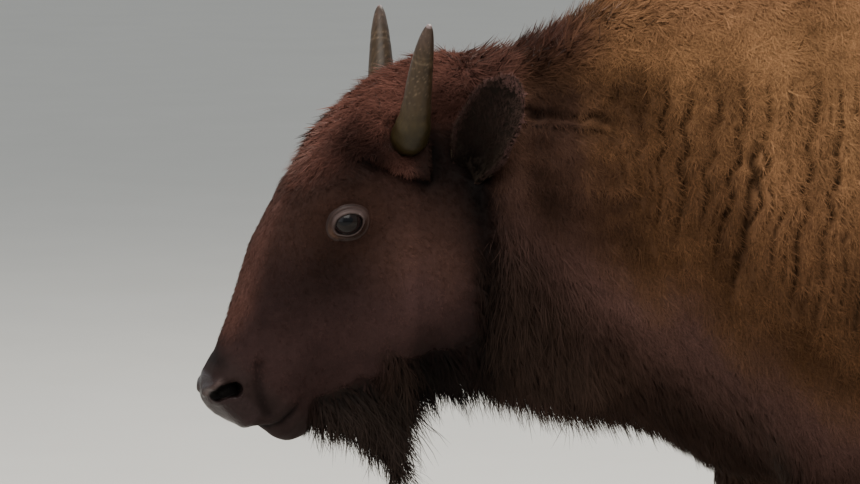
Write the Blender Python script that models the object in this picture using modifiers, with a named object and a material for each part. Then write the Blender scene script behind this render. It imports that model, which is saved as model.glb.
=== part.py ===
"""A yearling American bison, life size, standing square on its four feet.

The body is one closed form, worked out from sections along the trunk and the head and from rounded
masses for shoulders, thighs, legs, muzzle, beard and tail. A blank of coarse blocks is voxel
remeshed, its surface is drawn onto that form, and the result is parted into named pieces by thin
cuts. Horns, eyes, ears and hooves are pieces of their own.

Metres, +Z up. The head points along -X, the animal's left side faces -Y, and the origin is on the
floor under the middle of the model.
"""

import math
from collections import namedtuple

import bmesh
import bpy
import numpy as np
from mathutils import Matrix, Vector

# ---------------------------------------------------------------- driving dimensions

EYE_LINE = (-1.02, 0.0, 0.90)  # halfway between the eyes
FACE_PITCH = math.radians(52)  # how far the face points below the horizon
EYE_SPREAD = 0.098  # from the middle of the head to an eyeball's centre
EYE_RADIUS = 0.0215
FORE_X, HIND_X = -0.42, 0.60  # where the feet stand
STAGGER = 0.035  # half the step between a left foot and a right foot
TRACK = 0.118  # half the distance between left and right feet
HOOF_HEIGHT = 0.066
CLAW_LENGTH, CLAW_WIDTH, CLAW_SPLIT = 0.112, 0.046, 0.006
HOOF_OFFSET = {FORE_X: -0.026, HIND_X: 0.000}  # from where a leg stands to its hoof's middle

GAP = 0.0004  # clearance where two pieces meet
BLOCK = 0.02  # side of the coarse cells that the blank starts from
BLANK_BOX = ((-1.32, -0.36, 0.02), (0.92, 0.36, 1.44))
BLANK_VOXEL = 0.0105
BODY_SHARE = 0.031  # share of the remeshed faces that the parted body keeps

# ---------------------------------------------------------------- the body's form

# Sections of the trunk and neck: place along X, top, bottom, half width, widest level,
# and the powers of the curve above and below that level (2 is an ellipse, less is a ridge).
TRUNK = (
    (-0.93, 1.020, 0.740, 0.070, 0.92, 2.0, 2.0),
    (-0.86, 1.090, 0.680, 0.118, 0.92, 2.0, 2.0),
    (-0.80, 1.112, 0.655, 0.150, 0.91, 1.9, 1.9),
    (-0.70, 1.164, 0.620, 0.186, 0.90, 1.7, 1.9),
    (-0.60, 1.252, 0.585, 0.215, 0.90, 1.5, 1.8),
    (-0.50, 1.328, 0.562, 0.235, 0.91, 1.4, 1.8),
    (-0.40, 1.372, 0.558, 0.246, 0.92, 1.4, 1.8),
    (-0.30, 1.380, 0.566, 0.252, 0.92, 1.45, 1.9),
    (-0.18, 1.350, 0.582, 0.262, 0.90, 1.55, 2.1),
    (-0.05, 1.296, 0.590, 0.262, 0.88, 1.7, 2.2),
    (0.10, 1.240, 0.600, 0.262, 0.88, 1.85, 2.2),
    (0.25, 1.198, 0.622, 0.252, 0.90, 2.0, 2.1),
    (0.40, 1.172, 0.662, 0.238, 0.93, 2.0, 2.0),
    (0.52, 1.158, 0.715, 0.214, 0.96, 2.0, 2.0),
    (0.64, 1.120, 0.780, 0.176, 0.97, 2.0, 2.0),
    (0.72, 1.066, 0.850, 0.120, 0.97, 2.0, 2.0),
    (0.765, 1.015, 0.920, 0.050, 0.97, 2.0, 2.0),
)
# Sections of the head, from the crown to the muzzle, in the head's own frame: place along the
# face, forehead line, jaw line, half width, widest level and the two powers.
HEAD = (
    (-0.235, 0.018, -0.090, 0.060, -0.02, 2.0, 2.0),
    (-0.190, 0.044, -0.150, 0.088, -0.01, 2.1, 2.0),
    (-0.120, 0.074, -0.190, 0.104, 0.00, 2.2, 1.9),
    (-0.040, 0.086, -0.220, 0.112, 0.00, 2.3, 1.8),
    (0.040, 0.075, -0.214, 0.100, -0.01, 2.3, 1.8),
    (0.110, 0.063, -0.190, 0.080, -0.03, 2.2, 1.9),
    (0.170, 0.040, -0.166, 0.065, -0.05, 2.1, 2.0),
    (0.220, 0.022, -0.148, 0.058, -0.06, 2.0, 2.1),
    (0.262, -0.004, -0.110, 0.044, -0.06, 2.0, 2.0),
)

Mass = namedtuple("Mass", "frame place radii turn blend")
Limb = namedtuple("Limb", "frame start end radii blend")

# Rounded masses: centre, radii, turn about Y in degrees, and how softly each one blends in.
# A place with a side is used on both sides.
MASSES = {
    "brow": Mass("head", (-0.020, 0.088, 0.028), (0.046, 0.030, 0.030), 0, 0.020),
    "orbit": Mass("head", (0.000, 0.084, 0.000), (0.040, 0.024, 0.036), 0, 0.016),
    "cheek": Mass("head", (0.012, 0.058, -0.115), (0.090, 0.048, 0.080), 0, 0.030),
    "nose_pad": Mass("head", (0.256, 0.0, -0.024), (0.045, 0.050, 0.034), 0, 0.018),
    "nostril_wing": Mass("head", (0.250, 0.036, -0.022), (0.036, 0.026, 0.032), 0, 0.014),
    "upper_lip": Mass("head", (0.250, 0.020, -0.064), (0.042, 0.040, 0.040), 0, 0.016),
    "flews": Mass("head", (0.215, 0.044, -0.075), (0.042, 0.024, 0.042), 0, 0.018),
    "chin": Mass("head", (0.236, 0.0, -0.112), (0.036, 0.046, 0.038), 0, 0.016),
    "mop": Mass("head", (-0.100, 0.0, 0.036), (0.105, 0.096, 0.048), 0, 0.030),
    "poll_tuft": Mass("body", (-0.868, 0.0, 1.055), (0.085, 0.084, 0.058), 0, 0.030),
    "shoulder": Mass("body", (-0.430, 0.150, 0.860), (0.150, 0.100, 0.250), 8, 0.060),
    "ribs": Mass("body", (-0.020, 0.104, 0.850), (0.330, 0.162, 0.235), 2, 0.060),
    "hip": Mass("body", (0.470, 0.130, 1.045), (0.090, 0.078, 0.062), 0, 0.060),
    "thigh": Mass("body", (0.590, 0.118, 0.895), (0.155, 0.106, 0.225), -6, 0.060),
    "seat": Mass("body", (0.715, 0.070, 0.955), (0.055, 0.060, 0.085), 0, 0.040),
}
LIMBS = {
    "throat_mane": Limb("body", (-0.830, 0.0, 0.692), (-0.440, 0.0, 0.592), (0.045, 0.050), 0.070),
    "jaw_angle": Limb("head", (-0.060, 0.046, -0.165), (0.120, 0.034, -0.160), (0.040, 0.030), 0.030),
    "beard_root": Limb("head", (0.070, 0.0, -0.198), (0.200, 0.0, -0.150), (0.044, 0.034), 0.024),
    "beard_front": Limb("head", (0.178, 0.0, -0.168), (0.226, 0.0, -0.288), (0.038, 0.014), 0.020),
    "beard_back": Limb("head", (0.120, 0.0, -0.195), (0.196, 0.0, -0.262), (0.036, 0.020), 0.020),
    "tail_root": Limb("body", (0.725, 0.0, 1.040), (0.815, 0.0, 0.995), (0.040, 0.027), 0.030),
    "tail_bend": Limb("body", (0.815, 0.0, 0.995), (0.850, 0.0, 0.900), (0.027, 0.023), 0.020),
    "tail_dock": Limb("body", (0.850, 0.0, 0.900), (0.860, 0.0, 0.680), (0.023, 0.024), 0.020),
    "tail_tuft": Limb("body", (0.860, 0.0, 0.680), (0.862, 0.0, 0.570), (0.024, 0.039), 0.020),
    "tail_tip": Limb("body", (0.862, 0.0, 0.570), (0.856, 0.0, 0.470), (0.039, 0.010), 0.020),
}
# One front and one hind leg, from the body down, standing at X = 0: each stretch runs from
# (x, side, height) to the next, with a radius at each end.
FORELEG = (
    ((-0.030, 0.146, 0.800), (0.030, 0.132, 0.620), (0.100, 0.088), 0.060),
    ((0.030, 0.132, 0.630), (0.002, TRACK, 0.420), (0.082, 0.045), 0.050),
    ((-0.002, TRACK, 0.400), (-0.002, TRACK, 0.350), (0.045, 0.041), 0.030),
    ((0.004, TRACK, 0.360), (0.010, TRACK, 0.170), (0.036, 0.030), 0.035),
    ((0.012, TRACK, 0.150), (0.010, TRACK, 0.140), (0.037, 0.037), 0.024),
    ((0.006, TRACK, 0.130), (-0.018, TRACK, 0.078), (0.034, 0.039), 0.024),
    ((0.046, TRACK - 0.019, 0.134), (0.052, TRACK - 0.020, 0.120), (0.013, 0.010), 0.010),
    ((0.046, TRACK + 0.019, 0.134), (0.052, TRACK + 0.020, 0.120), (0.013, 0.010), 0.010),
)
HINDLEG = (
    ((-0.060, 0.126, 0.880), (-0.120, 0.138, 0.700), (0.120, 0.086), 0.070),
    ((-0.105, 0.136, 0.715), (0.040, TRACK + 0.004, 0.500), (0.098, 0.052), 0.060),
    ((0.060, 0.116, 0.860), (0.062, TRACK, 0.560), (0.085, 0.036), 0.060),
    ((0.080, TRACK, 0.540), (0.086, TRACK, 0.480), (0.022, 0.027), 0.030),
    ((0.046, TRACK, 0.480), (0.060, TRACK, 0.430), (0.050, 0.044), 0.035),
    ((0.058, TRACK, 0.430), (0.044, TRACK, 0.170), (0.040, 0.032), 0.035),
    ((0.044, TRACK, 0.150), (0.042, TRACK, 0.140), (0.039, 0.038), 0.024),
    ((0.036, TRACK, 0.130), (0.008, TRACK, 0.078), (0.035, 0.040), 0.024),
    ((0.078, TRACK - 0.019, 0.136), (0.084, TRACK - 0.020, 0.122), (0.013, 0.010), 0.010),
    ((0.078, TRACK + 0.019, 0.136), (0.084, TRACK + 0.020, 0.122), (0.013, 0.010), 0.010),
)

# ---------------------------------------------------------------- horns, ears, hooves, cuts

# A horn's middle line, from inside the skull to the tip, with its radius at each place.
HORN = (
    ((-0.940, 0.062, 1.000), 0.0240),
    ((-0.939, 0.090, 1.003), 0.0245),
    ((-0.937, 0.108, 1.018), 0.0232),
    ((-0.935, 0.121, 1.044), 0.0190),
    ((-0.933, 0.137, 1.085), 0.0156),
    ((-0.931, 0.153, 1.118), 0.0125),
    ((-0.929, 0.166, 1.142), 0.0072),
    ((-0.928, 0.172, 1.152), 0.0038),
)
EAR_ROOT, EAR_TIP = (-0.872, 0.096, 0.948), (-0.818, 0.180, 1.086)
EAR_HALF_WIDTH = 0.039
EAR_FACING = math.radians(35)  # how far the cup turns from the side towards the front
NOSTRIL = Mass("head", (0.276, 0.036, -0.030), (0.015, 0.012, 0.018), 0, 0.0)

# Each cut is a thin slab: frame, centre, tilt about Y in degrees from a wall across the body,
# width, height and thickness.
Cut = namedtuple("Cut", "frame place tilt width height thick", defaults=(GAP,))
CUTS = (
    Cut("body", (-0.834, 0.0, 0.892), 11, 0.6, 0.7),  # head from neck
    Cut("body", (-0.620, 0.0, 0.900), 8, 0.7, 1.0),  # neck from chest
    Cut("body", (-0.120, 0.0, 0.900), 0, 0.8, 1.1),  # chest from barrel
    Cut("body", (0.340, 0.0, 0.900), -5, 0.8, 1.0),  # barrel from rump
    Cut("body", (0.824, 0.0, 0.984), 52, 0.12, 0.09),  # rump from tail
    Cut("body", (0.860, 0.0, 0.690), 90, 0.12, 0.12),  # tail from its tuft
    Cut("head", (0.140, 0.0, -0.1935), 104.5, 0.16, 0.26),  # head from beard
    Cut("head", (0.258, 0.0, -0.012), 29, 0.16, 0.15),  # head from nose
)
LEG_CUTS = {FORE_X: (0.530, 0.380, 0.168), HIND_X: (0.630, 0.470, 0.168)}
HOOF_CUT = Cut("body", (0.0, 0.0, HOOF_HEIGHT + GAP - 0.1), 90, 1.0, 3.0, 0.2)
LEG_CUT_REACH = {FORE_X: (0.16, 0.22), HIND_X: (0.21, 0.22)}


def head_axes():
    """Unit vectors along the face towards the muzzle, and square to it out of the forehead."""
    along = np.array((-math.cos(FACE_PITCH), 0.0, -math.sin(FACE_PITCH)))
    out = np.array((-math.sin(FACE_PITCH), 0.0, math.cos(FACE_PITCH)))
    return along, out


def to_head(points):
    """World points as (place along the face, side, height above the eye line)."""
    along, out = head_axes()
    local = points - np.array(EYE_LINE)
    return np.stack((local @ along, local[:, 1], local @ out), axis=1)


def from_head(place):
    """A place in the head's frame as a world point."""
    along, out = head_axes()
    s, side, height = place
    return np.array(EYE_LINE) + s * along + height * out + np.array((0.0, side, 0.0))


def curve(at, knots, values):
    """A smooth curve through the knots: cubic spans with central-difference slopes."""
    slopes = np.gradient(values, knots)
    at = np.clip(at, knots[0], knots[-1])
    i = np.clip(np.searchsorted(knots, at) - 1, 0, len(knots) - 2)
    step = knots[i + 1] - knots[i]
    t = (at - knots[i]) / step
    rise = values[i] * (2 * t**3 - 3 * t**2 + 1) + values[i + 1] * (3 * t**2 - 2 * t**3)
    lean = slopes[i] * (t**3 - 2 * t**2 + t) + slopes[i + 1] * (t**3 - t**2)
    return rise + lean * step


def loft_distance(points, rows):
    """How far points lie outside a form given by sections along its first axis."""
    table = np.array(rows)
    along, side, height = points.T
    top, bottom, half, level, above, below = (
        curve(along, table[:, 0], table[:, i]) for i in range(1, table.shape[1])
    )
    rise = height - level
    reach = np.where(rise > 0, top - level, level - bottom)
    power = np.where(rise > 0, above, below)
    share = (np.abs(side) / half) ** power + (np.abs(rise) / reach) ** power
    share = np.maximum(share, 1e-9) ** (1 / power)
    size = np.hypot(side, rise)
    across = size - size / share
    past_end = np.maximum(table[0, 0] - along, along - table[-1, 0])
    return np.where(past_end > 0, np.hypot(np.maximum(across, 0), past_end), across)


def mass_distance(points, centre, radii, turn):
    """How far points lie outside an ellipsoid turned about Y."""
    local = points - centre
    c, s = math.cos(turn), math.sin(turn)
    x, y, z = local.T
    local = np.stack((c * x + s * z, y, c * z - s * x), axis=1)
    scaled = np.linalg.norm(local / radii, axis=1)
    steep = np.linalg.norm(local / np.square(radii), axis=1)
    return scaled * (scaled - 1) / np.maximum(steep, 1e-9)


def limb_distance(points, start, end, radii):
    """How far points lie outside a rounded, tapering limb."""
    axis = end - start
    t = np.clip((points - start) @ axis / (axis @ axis), 0, 1)
    nearest = start + t[:, None] * axis
    return np.linalg.norm(points - nearest, axis=1) - (radii[0] + t * (radii[1] - radii[0]))


def merged(a, b, blend):
    """The union of two forms, with the crease between them filled over a width of blend."""
    h = np.maximum(blend - np.abs(a - b), 0) / blend
    return np.minimum(a, b) - h * h * blend / 4


def leg_stretches():
    """Every stretch of the four legs as (start, end, radii, blend), for points folded to +Y.

    The near legs stand half a step one way and the far legs half a step the other way."""
    for place, leg, lead in ((FORE_X, FORELEG, -1), (HIND_X, HINDLEG, 1)):
        for side in (-1, 1):
            foot = place + side * lead * STAGGER
            for start, end, radii, blend in leg:
                ends = []
                for x, y, z in (start, end):
                    # The step is taken at the foot and fades out towards the body.
                    step = np.interp(z, (0.30, 0.86), (1.0, 0.0))
                    ends.append(np.array((place + x + (foot - place) * step, side * y, z)))
                yield ends[0], ends[1], radii, blend


def body_distance(points):
    """How far points lie outside the coat of the whole animal, less its ears, horns and hooves."""
    folded = np.column_stack((points[:, 0], np.abs(points[:, 1]), points[:, 2]))
    frames = {"body": folded, "head": to_head(folded)}
    found = loft_distance(folded, TRUNK)
    found = merged(found, loft_distance(frames["head"], HEAD), 0.030)
    for mass in MASSES.values():
        place, radii = np.array(mass.place), np.array(mass.radii)
        near = mass_distance(frames[mass.frame], place, radii, math.radians(mass.turn))
        found = merged(found, near, mass.blend)
    for limb in LIMBS.values():
        near = limb_distance(frames[limb.frame], np.array(limb.start), np.array(limb.end), limb.radii)
        found = merged(found, near, limb.blend)
    for start, end, radii, blend in leg_stretches():
        found = merged(found, limb_distance(points, start, end, radii), blend)
    return found


def drawn_onto(points, form, steps=4):
    """Moves points along the form's slope until they lie on its surface."""
    reach = 1e-3
    for _ in range(steps):
        value = form(points)
        slope = np.stack([(form(points + d) - value) / reach for d in np.eye(3) * reach], axis=1)
        points = points - slope * (value / np.maximum((slope**2).sum(1), 0.1))[:, None]
    return points


# ---------------------------------------------------------------- making meshes

def linked(name, mesh, collection):
    obj = bpy.data.objects.new(name, mesh)
    collection.objects.link(obj)
    return obj


def applied(obj):
    """The object with its modifiers made part of its mesh."""
    graph = bpy.context.evaluated_depsgraph_get()
    graph.update()
    mesh = bpy.data.meshes.new_from_object(obj.evaluated_get(graph))
    obj.modifiers.clear()
    obj.data = mesh
    return obj


def points_of(mesh):
    points = np.empty(len(mesh.vertices) * 3)
    mesh.vertices.foreach_get("co", points)
    return points.reshape(-1, 3)


def hidden(obj):
    """The object marked as a helper that only cuts."""
    obj.hide_render = True
    obj.display_type = "WIRE"
    return obj


def blocks(form):
    """The cells of a coarse grid that lie inside the form, as one mesh of their outer faces."""
    low, high = np.array(BLANK_BOX)
    count = np.ceil((high - low) / BLOCK).astype(int)
    cells = np.indices(count).reshape(3, -1).T
    inside = (form(low + (cells + 0.5) * BLOCK) < 0).reshape(count)
    inside = np.pad(inside, 1)
    quads = []
    for axis in range(3):
        step = np.roll(np.eye(3, dtype=int), -axis, axis=0)
        for way in (-1, 1):
            bare = inside & ~np.roll(inside, -way, axis=axis)
            corner = np.argwhere(bare) + (way > 0) * step[0]
            loop = np.array([(0, 0, 0), step[1], step[1] + step[2], step[2]])
            quads.append((corner[:, None] + loop[None])[:, ::way])
    corners, faces = np.unique(np.concatenate(quads).reshape(-1, 3), axis=0, return_inverse=True)
    mesh = bpy.data.meshes.new("blocks")
    mesh.from_pydata(((corners - 1) * BLOCK + low).tolist(), [], faces.reshape(-1, 4).tolist())
    return mesh


def remeshed(obj, voxel):
    remesh = obj.modifiers.new("one_surface", "REMESH")
    remesh.mode = "VOXEL"
    remesh.voxel_size = voxel
    return applied(obj)


def whole_body(collection):
    """The whole body as one closed mesh: a blank remeshed, drawn onto the form and thinned out."""
    body = linked("body", blocks(body_distance), collection)
    for voxel in (2 * BLANK_VOXEL, BLANK_VOXEL):
        remeshed(body, voxel)
        drawn = drawn_onto(points_of(body.data), body_distance)
        body.data.vertices.foreach_set("co", drawn.ravel())
    remeshed(body, BLANK_VOXEL)
    fewer = body.modifiers.new("fewer_faces", "DECIMATE")
    fewer.ratio = BODY_SHARE
    return applied(body)


def ball(name, centre, radii, turn, collection):
    bm = bmesh.new()
    place = Matrix.Translation(Vector(centre)) @ turn @ Matrix.Diagonal((*radii, 1.0))
    bmesh.ops.create_uvsphere(bm, u_segments=14, v_segments=8, radius=1.0, matrix=place)
    mesh = bpy.data.meshes.new(name)
    bm.to_mesh(mesh)
    bm.free()
    return linked(name, mesh, collection)


def horn(name, side, grow, collection):
    """A horn as a tapering tube along its middle line; grow is added to its radius."""
    curve_data = bpy.data.curves.new(name, "CURVE")
    curve_data.dimensions = "3D"
    curve_data.bevel_depth = 1.0
    curve_data.bevel_resolution = 3
    curve_data.use_fill_caps = True
    table = np.array([(*place, radius) for place, radius in HORN])
    steps = np.linspace(0, len(HORN) - 1, 13)
    x, y, z, radius = (curve(steps, np.arange(len(HORN)), table[:, i]) for i in range(4))
    spline = curve_data.splines.new("POLY")
    spline.points.add(len(steps) - 1)
    for point, at in zip(spline.points, np.column_stack((x, side * y, z, radius + grow))):
        point.co = (*at[:3], 1.0)
        point.radius = at[3]
    tube = linked(name + "_line", curve_data, collection)
    graph = bpy.context.evaluated_depsgraph_get()
    mesh = bpy.data.meshes.new_from_object(tube.evaluated_get(graph))
    bpy.data.objects.remove(tube)
    return linked(name, closed(mesh), collection)


def closed(mesh):
    """The mesh with its loose caps welded on and its faces turned outwards."""
    bm = bmesh.new()
    bm.from_mesh(mesh)
    bmesh.ops.remove_doubles(bm, verts=bm.verts, dist=1e-5)
    bmesh.ops.recalc_face_normals(bm, faces=bm.faces)
    bm.to_mesh(mesh)
    bm.free()
    return mesh


def lofted(name, rings, collection):
    """A closed mesh through rings of equal counts of points, capped at both ends."""
    rings = np.asarray(rings)
    count, around = rings.shape[:2]
    first = np.arange(count - 1)[:, None] * around + np.arange(around)
    after = np.arange(count - 1)[:, None] * around + (np.arange(around) + 1) % around
    quads = np.stack((first, after, after + around, first + around), axis=2).reshape(-1, 4)
    mesh = bpy.data.meshes.new(name)
    caps = [list(range(around)), list(range((count - 1) * around, count * around))]
    mesh.from_pydata(rings.reshape(-1, 3).tolist(), [], quads.tolist() + caps)
    return linked(name, closed(mesh), collection)


def ear(name, side, grow, collection):
    """A leaf-shaped ear: a thin cup, widest above its root, with a rounded tip."""
    root, tip = np.array(EAR_ROOT), np.array(EAR_TIP)
    axis = (tip - root) / np.linalg.norm(tip - root)
    facing = np.array((-math.sin(EAR_FACING), math.cos(EAR_FACING), 0.0))
    facing -= axis * (facing @ axis)
    facing /= np.linalg.norm(facing)
    across = np.cross(axis, facing)
    length = np.linalg.norm(tip - root)
    turn = np.linspace(0, 2 * math.pi, 14, endpoint=False)
    rings = []
    for t in (0.0, 0.16, 0.34, 0.54, 0.72, 0.87, 0.96, 1.0):
        bulge = 0.45 + 0.55 * math.sin(math.pi * (0.74 * t + 0.05))
        wide = EAR_HALF_WIDTH * bulge * math.sqrt(1 - t**6) + 0.003
        thick = 0.018 * (1 - 0.62 * t) + 0.001
        cup = 0.020 * math.sin(math.pi * min(t / 0.95, 1)) * (1 - 0.4 * t)
        u = (wide + grow) * np.cos(turn)
        v = (thick + grow) * np.sin(turn) * (1 - 0.45 * np.cos(turn) ** 2)
        # The edges curl towards the open side, and the middle of the open side is hollow.
        v = v + cup * (np.cos(turn) ** 2 - 0.6)
        ring = root + axis * (t * length + (grow if t == 1 else -grow if t == 0 else 0))
        ring = ring + u[:, None] * across + v[:, None] * facing
        rings.append(ring * (1, side, 1))
    return lofted(name, rings, collection)


# Levels of a claw: height, length and width as shares of the full ones, and the lean backwards.
CLAW_LEVELS = (
    (0.0, 0.92, 0.92, 0.0),
    (0.006, 1.0, 1.0, 0.0),
    (0.036, 0.88, 0.97, 0.004),
    (HOOF_HEIGHT, 0.74, 0.86, 0.010),
)


def claw(name, middle, side, half, collection):
    """One half of a cloven hoof: flat below and above, sloping back at the toe."""
    turn = np.linspace(0, 2 * math.pi, 12, endpoint=False)
    rings = []
    for z, long, wide, back in CLAW_LEVELS:
        u, v = np.cos(turn), np.sin(turn)
        # Rounder than an ellipse at the heel, narrower at the toe, and flat where the two halves meet.
        u = np.sign(u) * np.abs(u) ** 0.85 * CLAW_LENGTH / 2 * long
        v = np.sign(v) * np.abs(v) ** 0.8 * CLAW_WIDTH / 2 * wide
        v = v * np.interp(u / CLAW_LENGTH, (-0.5, -0.1, 0.5), (0.72, 1.0, 0.92))
        v = np.maximum(v, -0.36 * CLAW_WIDTH)
        x = middle + back + u
        y = side * TRACK + half * (v + 0.36 * CLAW_WIDTH + CLAW_SPLIT / 2)
        rings.append(np.column_stack((x, y, np.full_like(x, z))))
    return lofted(name, rings, collection)


def slab(cut, collection):
    """The thin box of one cut."""
    centre, turn = Vector(cut.place), 0.0
    if cut.frame == "head":
        centre, turn = Vector(from_head(cut.place)), -FACE_PITCH
    bm = bmesh.new()
    bmesh.ops.create_cube(bm, size=1.0)
    place = Matrix.Translation(centre) @ Matrix.Rotation(turn + math.radians(cut.tilt), 4, "Y")
    bm.transform(place @ Matrix.Diagonal((cut.thick, cut.width, cut.height, 1.0)))
    mesh = bpy.data.meshes.new("cut")
    bm.to_mesh(mesh)
    bm.free()
    return linked("cut", mesh, collection)


def carved(body, cutters):
    for cutter in cutters:
        boolean = body.modifiers.new("cut", "BOOLEAN")
        boolean.operation = "DIFFERENCE"
        boolean.solver = "EXACT"
        boolean.object = hidden(cutter)
        applied(body)
    return body


# ---------------------------------------------------------------- the animal

SIDES = {"left": -1, "right": 1}
LEADS = {FORE_X: -1, HIND_X: 1}
LEGS = {FORE_X: "foreleg", HIND_X: "hindleg"}


def foot_place(place, side):
    return place + side * LEADS[place] * STAGGER


def leg_cuts():
    """The cuts across the four legs, and the box that takes away what the hooves replace."""
    for place, heights in LEG_CUTS.items():
        long, wide = LEG_CUT_REACH[place]
        for side in SIDES.values():
            for height in heights:
                narrow = 1.0 if height > 0.5 else 0.8
                centre = (foot_place(place, side), side * (TRACK + 0.02 * (height > 0.5)), height)
                yield Cut("body", centre, 90, wide * narrow, 2 * long * narrow)


def piece_seeds():
    """A point near the middle of each piece that the cuts leave, by name."""
    seeds = {
        "head": from_head((0.0, 0.0, -0.05)),
        "nose": from_head((0.28, 0.0, -0.02)),
        "beard": from_head((0.17, 0.0, -0.23)),
        "neck": (-0.72, 0.0, 0.88),
        "chest": (-0.38, 0.0, 0.95),
        "barrel": (0.10, 0.0, 0.90),
        "rump": (0.56, 0.0, 0.92),
        "tail": (0.84, 0.0, 0.85),
        "tail_tuft": (0.86, 0.0, 0.58),
    }
    for place, heights in LEG_CUTS.items():
        for label, side in SIDES.items():
            levels = (*heights, HOOF_HEIGHT)
            for part, (top, bottom) in zip(("upper", "cannon", "pastern"), zip(levels, levels[1:])):
                middle = (foot_place(place, side), side * TRACK, (top + bottom) / 2)
                seeds[f"{LEGS[place]}_{part}_{label}"] = middle
    return {name: np.array(point) for name, point in seeds.items()}


def parted(body, collection):
    """Splits the cut body into its pieces and names each after the seed in its middle."""
    points = points_of(body.data)
    edges = np.array([edge.vertices[:] for edge in body.data.edges])
    label = np.arange(len(points))
    while True:
        lower = label.copy()
        np.minimum.at(lower, edges[:, 0], label[edges[:, 1]])
        np.minimum.at(lower, edges[:, 1], label[edges[:, 0]])
        lower = lower[lower]
        if (lower == label).all():
            break
        label = lower
    seeds = piece_seeds()
    pieces = {}
    for root in np.unique(label):
        mine = label == root
        middle = (points[mine].min(0) + points[mine].max(0)) / 2
        name = min(seeds, key=lambda seed: np.linalg.norm(seeds[seed] - middle))
        pieces.setdefault(name, []).append((mine, middle))
    for name, found in pieces.items():
        mine = max((m for m, _ in found), key=lambda m: m.sum())
        index = np.cumsum(mine) - 1
        kept = [p.vertices for p in body.data.polygons if mine[p.vertices[0]]]
        faces = [[int(index[v]) for v in vertices] for vertices in kept]
        mesh = bpy.data.meshes.new(name)
        mesh.from_pydata(points[mine].tolist(), [], faces)
        linked(name, mesh, collection)
    missing = set(seeds) - set(pieces)
    crowded = {name: len(found) for name, found in pieces.items() if len(found) > 1}
    if missing or crowded:
        raise ValueError(f"cuts left {missing} out and {crowded} in more than one piece")
    bpy.data.objects.remove(body)


COLOURS = {
    "coat_dark": ((0.035, 0.018, 0.014, 1.0), 0.95),
    "coat_gold": ((0.180, 0.085, 0.040, 1.0), 0.95),
    "coat_black": ((0.012, 0.008, 0.007, 1.0), 0.95),
    "nose_skin": ((0.020, 0.016, 0.016, 1.0), 0.35),
    "horn_grey": ((0.060, 0.045, 0.036, 1.0), 0.45),
    "hoof_black": ((0.025, 0.020, 0.018, 1.0), 0.55),
    "eye_dark": ((0.010, 0.008, 0.010, 1.0), 0.08),
}
FINISH = {
    "coat_gold": ("chest", "barrel", "rump"),
    "coat_black": ("beard", "tail_tuft"),
    "nose_skin": ("nose",),
    "horn_grey": ("horn",),
    "hoof_black": ("claw",),
    "eye_dark": ("eye",),
}


def material_for(name):
    """The material of a piece: the first finish with a word that starts its name."""
    kind = next((k for k, words in FINISH.items() if name.startswith(words)), "coat_dark")
    if kind in bpy.data.materials:
        return bpy.data.materials[kind]
    colour, roughness = COLOURS[kind]
    material = bpy.data.materials.new(kind)
    material.use_nodes = True
    shader = material.node_tree.nodes["Principled BSDF"]
    shader.inputs["Base Color"].default_value = colour
    shader.inputs["Roughness"].default_value = roughness
    return material


def centred(collection):
    """Moves every piece so that the origin lies under the middle of the whole."""
    points = np.concatenate([points_of(obj.data) for obj in collection.objects])
    low, high = points.min(0), points.max(0)
    shift = Vector((-(low[0] + high[0]) / 2, -(low[1] + high[1]) / 2, -low[2]))
    for obj in collection.objects:
        obj.data.transform(Matrix.Translation(shift))


def main():
    for obj in list(bpy.data.objects):
        bpy.data.objects.remove(obj)
    collection = bpy.data.collections.new("american_bison")
    helpers = bpy.data.collections.new("cutters")
    for made in (collection, helpers):
        bpy.context.scene.collection.children.link(made)
    body = whole_body(collection)
    pitch = Matrix.Rotation(-FACE_PITCH, 4, "Y")
    cutters = []
    for label, side in SIDES.items():
        eye = from_head((0.0, side * EYE_SPREAD, 0.0))
        ball(f"eye_{label}", eye, [EYE_RADIUS] * 3, pitch, collection)
        cutters.append(ball("socket", eye, [EYE_RADIUS + GAP] * 3, pitch, helpers))
        x, y, z = NOSTRIL.place
        cutters.append(ball("nostril", from_head((x, side * y, z)), NOSTRIL.radii, pitch, helpers))
        horn(f"horn_{label}", side, 0.0, collection)
        cutters.append(horn("horn_socket", side, GAP, helpers))
        ear(f"ear_{label}", side, 0.0, collection)
        cutters.append(ear("ear_socket", side, 2 * GAP, helpers))
        for place, leg in LEGS.items():
            for half, word in ((-side, "inner"), (side, "outer")):
                middle = foot_place(place, side) + HOOF_OFFSET[place]
                claw(f"claw_{leg}_{word}_{label}", middle, side, half, collection)
    cutters += [slab(cut, helpers) for cut in (HOOF_CUT, *CUTS, *leg_cuts())]
    parted(carved(body, cutters), collection)
    centred(collection)
    for obj in collection.objects:
        obj.data.shade_smooth()
        obj.data.materials.append(material_for(obj.name))


if __name__ == "__main__":
    main()
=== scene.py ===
"""A young american bison standing at rest, dressed for display.

One skin is drawn round the flesh of the frame, sunk by the depth of the coat and modelled at
the muzzle. The eyelids, eyeballs, ears, horn sheaths and hooves are surfaces of their own, and
the coat is made of locks that grow from the skin. The animal faces -X, its left side is -Y.
"""

import logging
import math
from dataclasses import dataclass
from enum import Enum
from typing import Callable

import bmesh
import bpy
import numpy as np
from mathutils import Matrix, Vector
from mathutils.bvhtree import BVHTree


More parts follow.
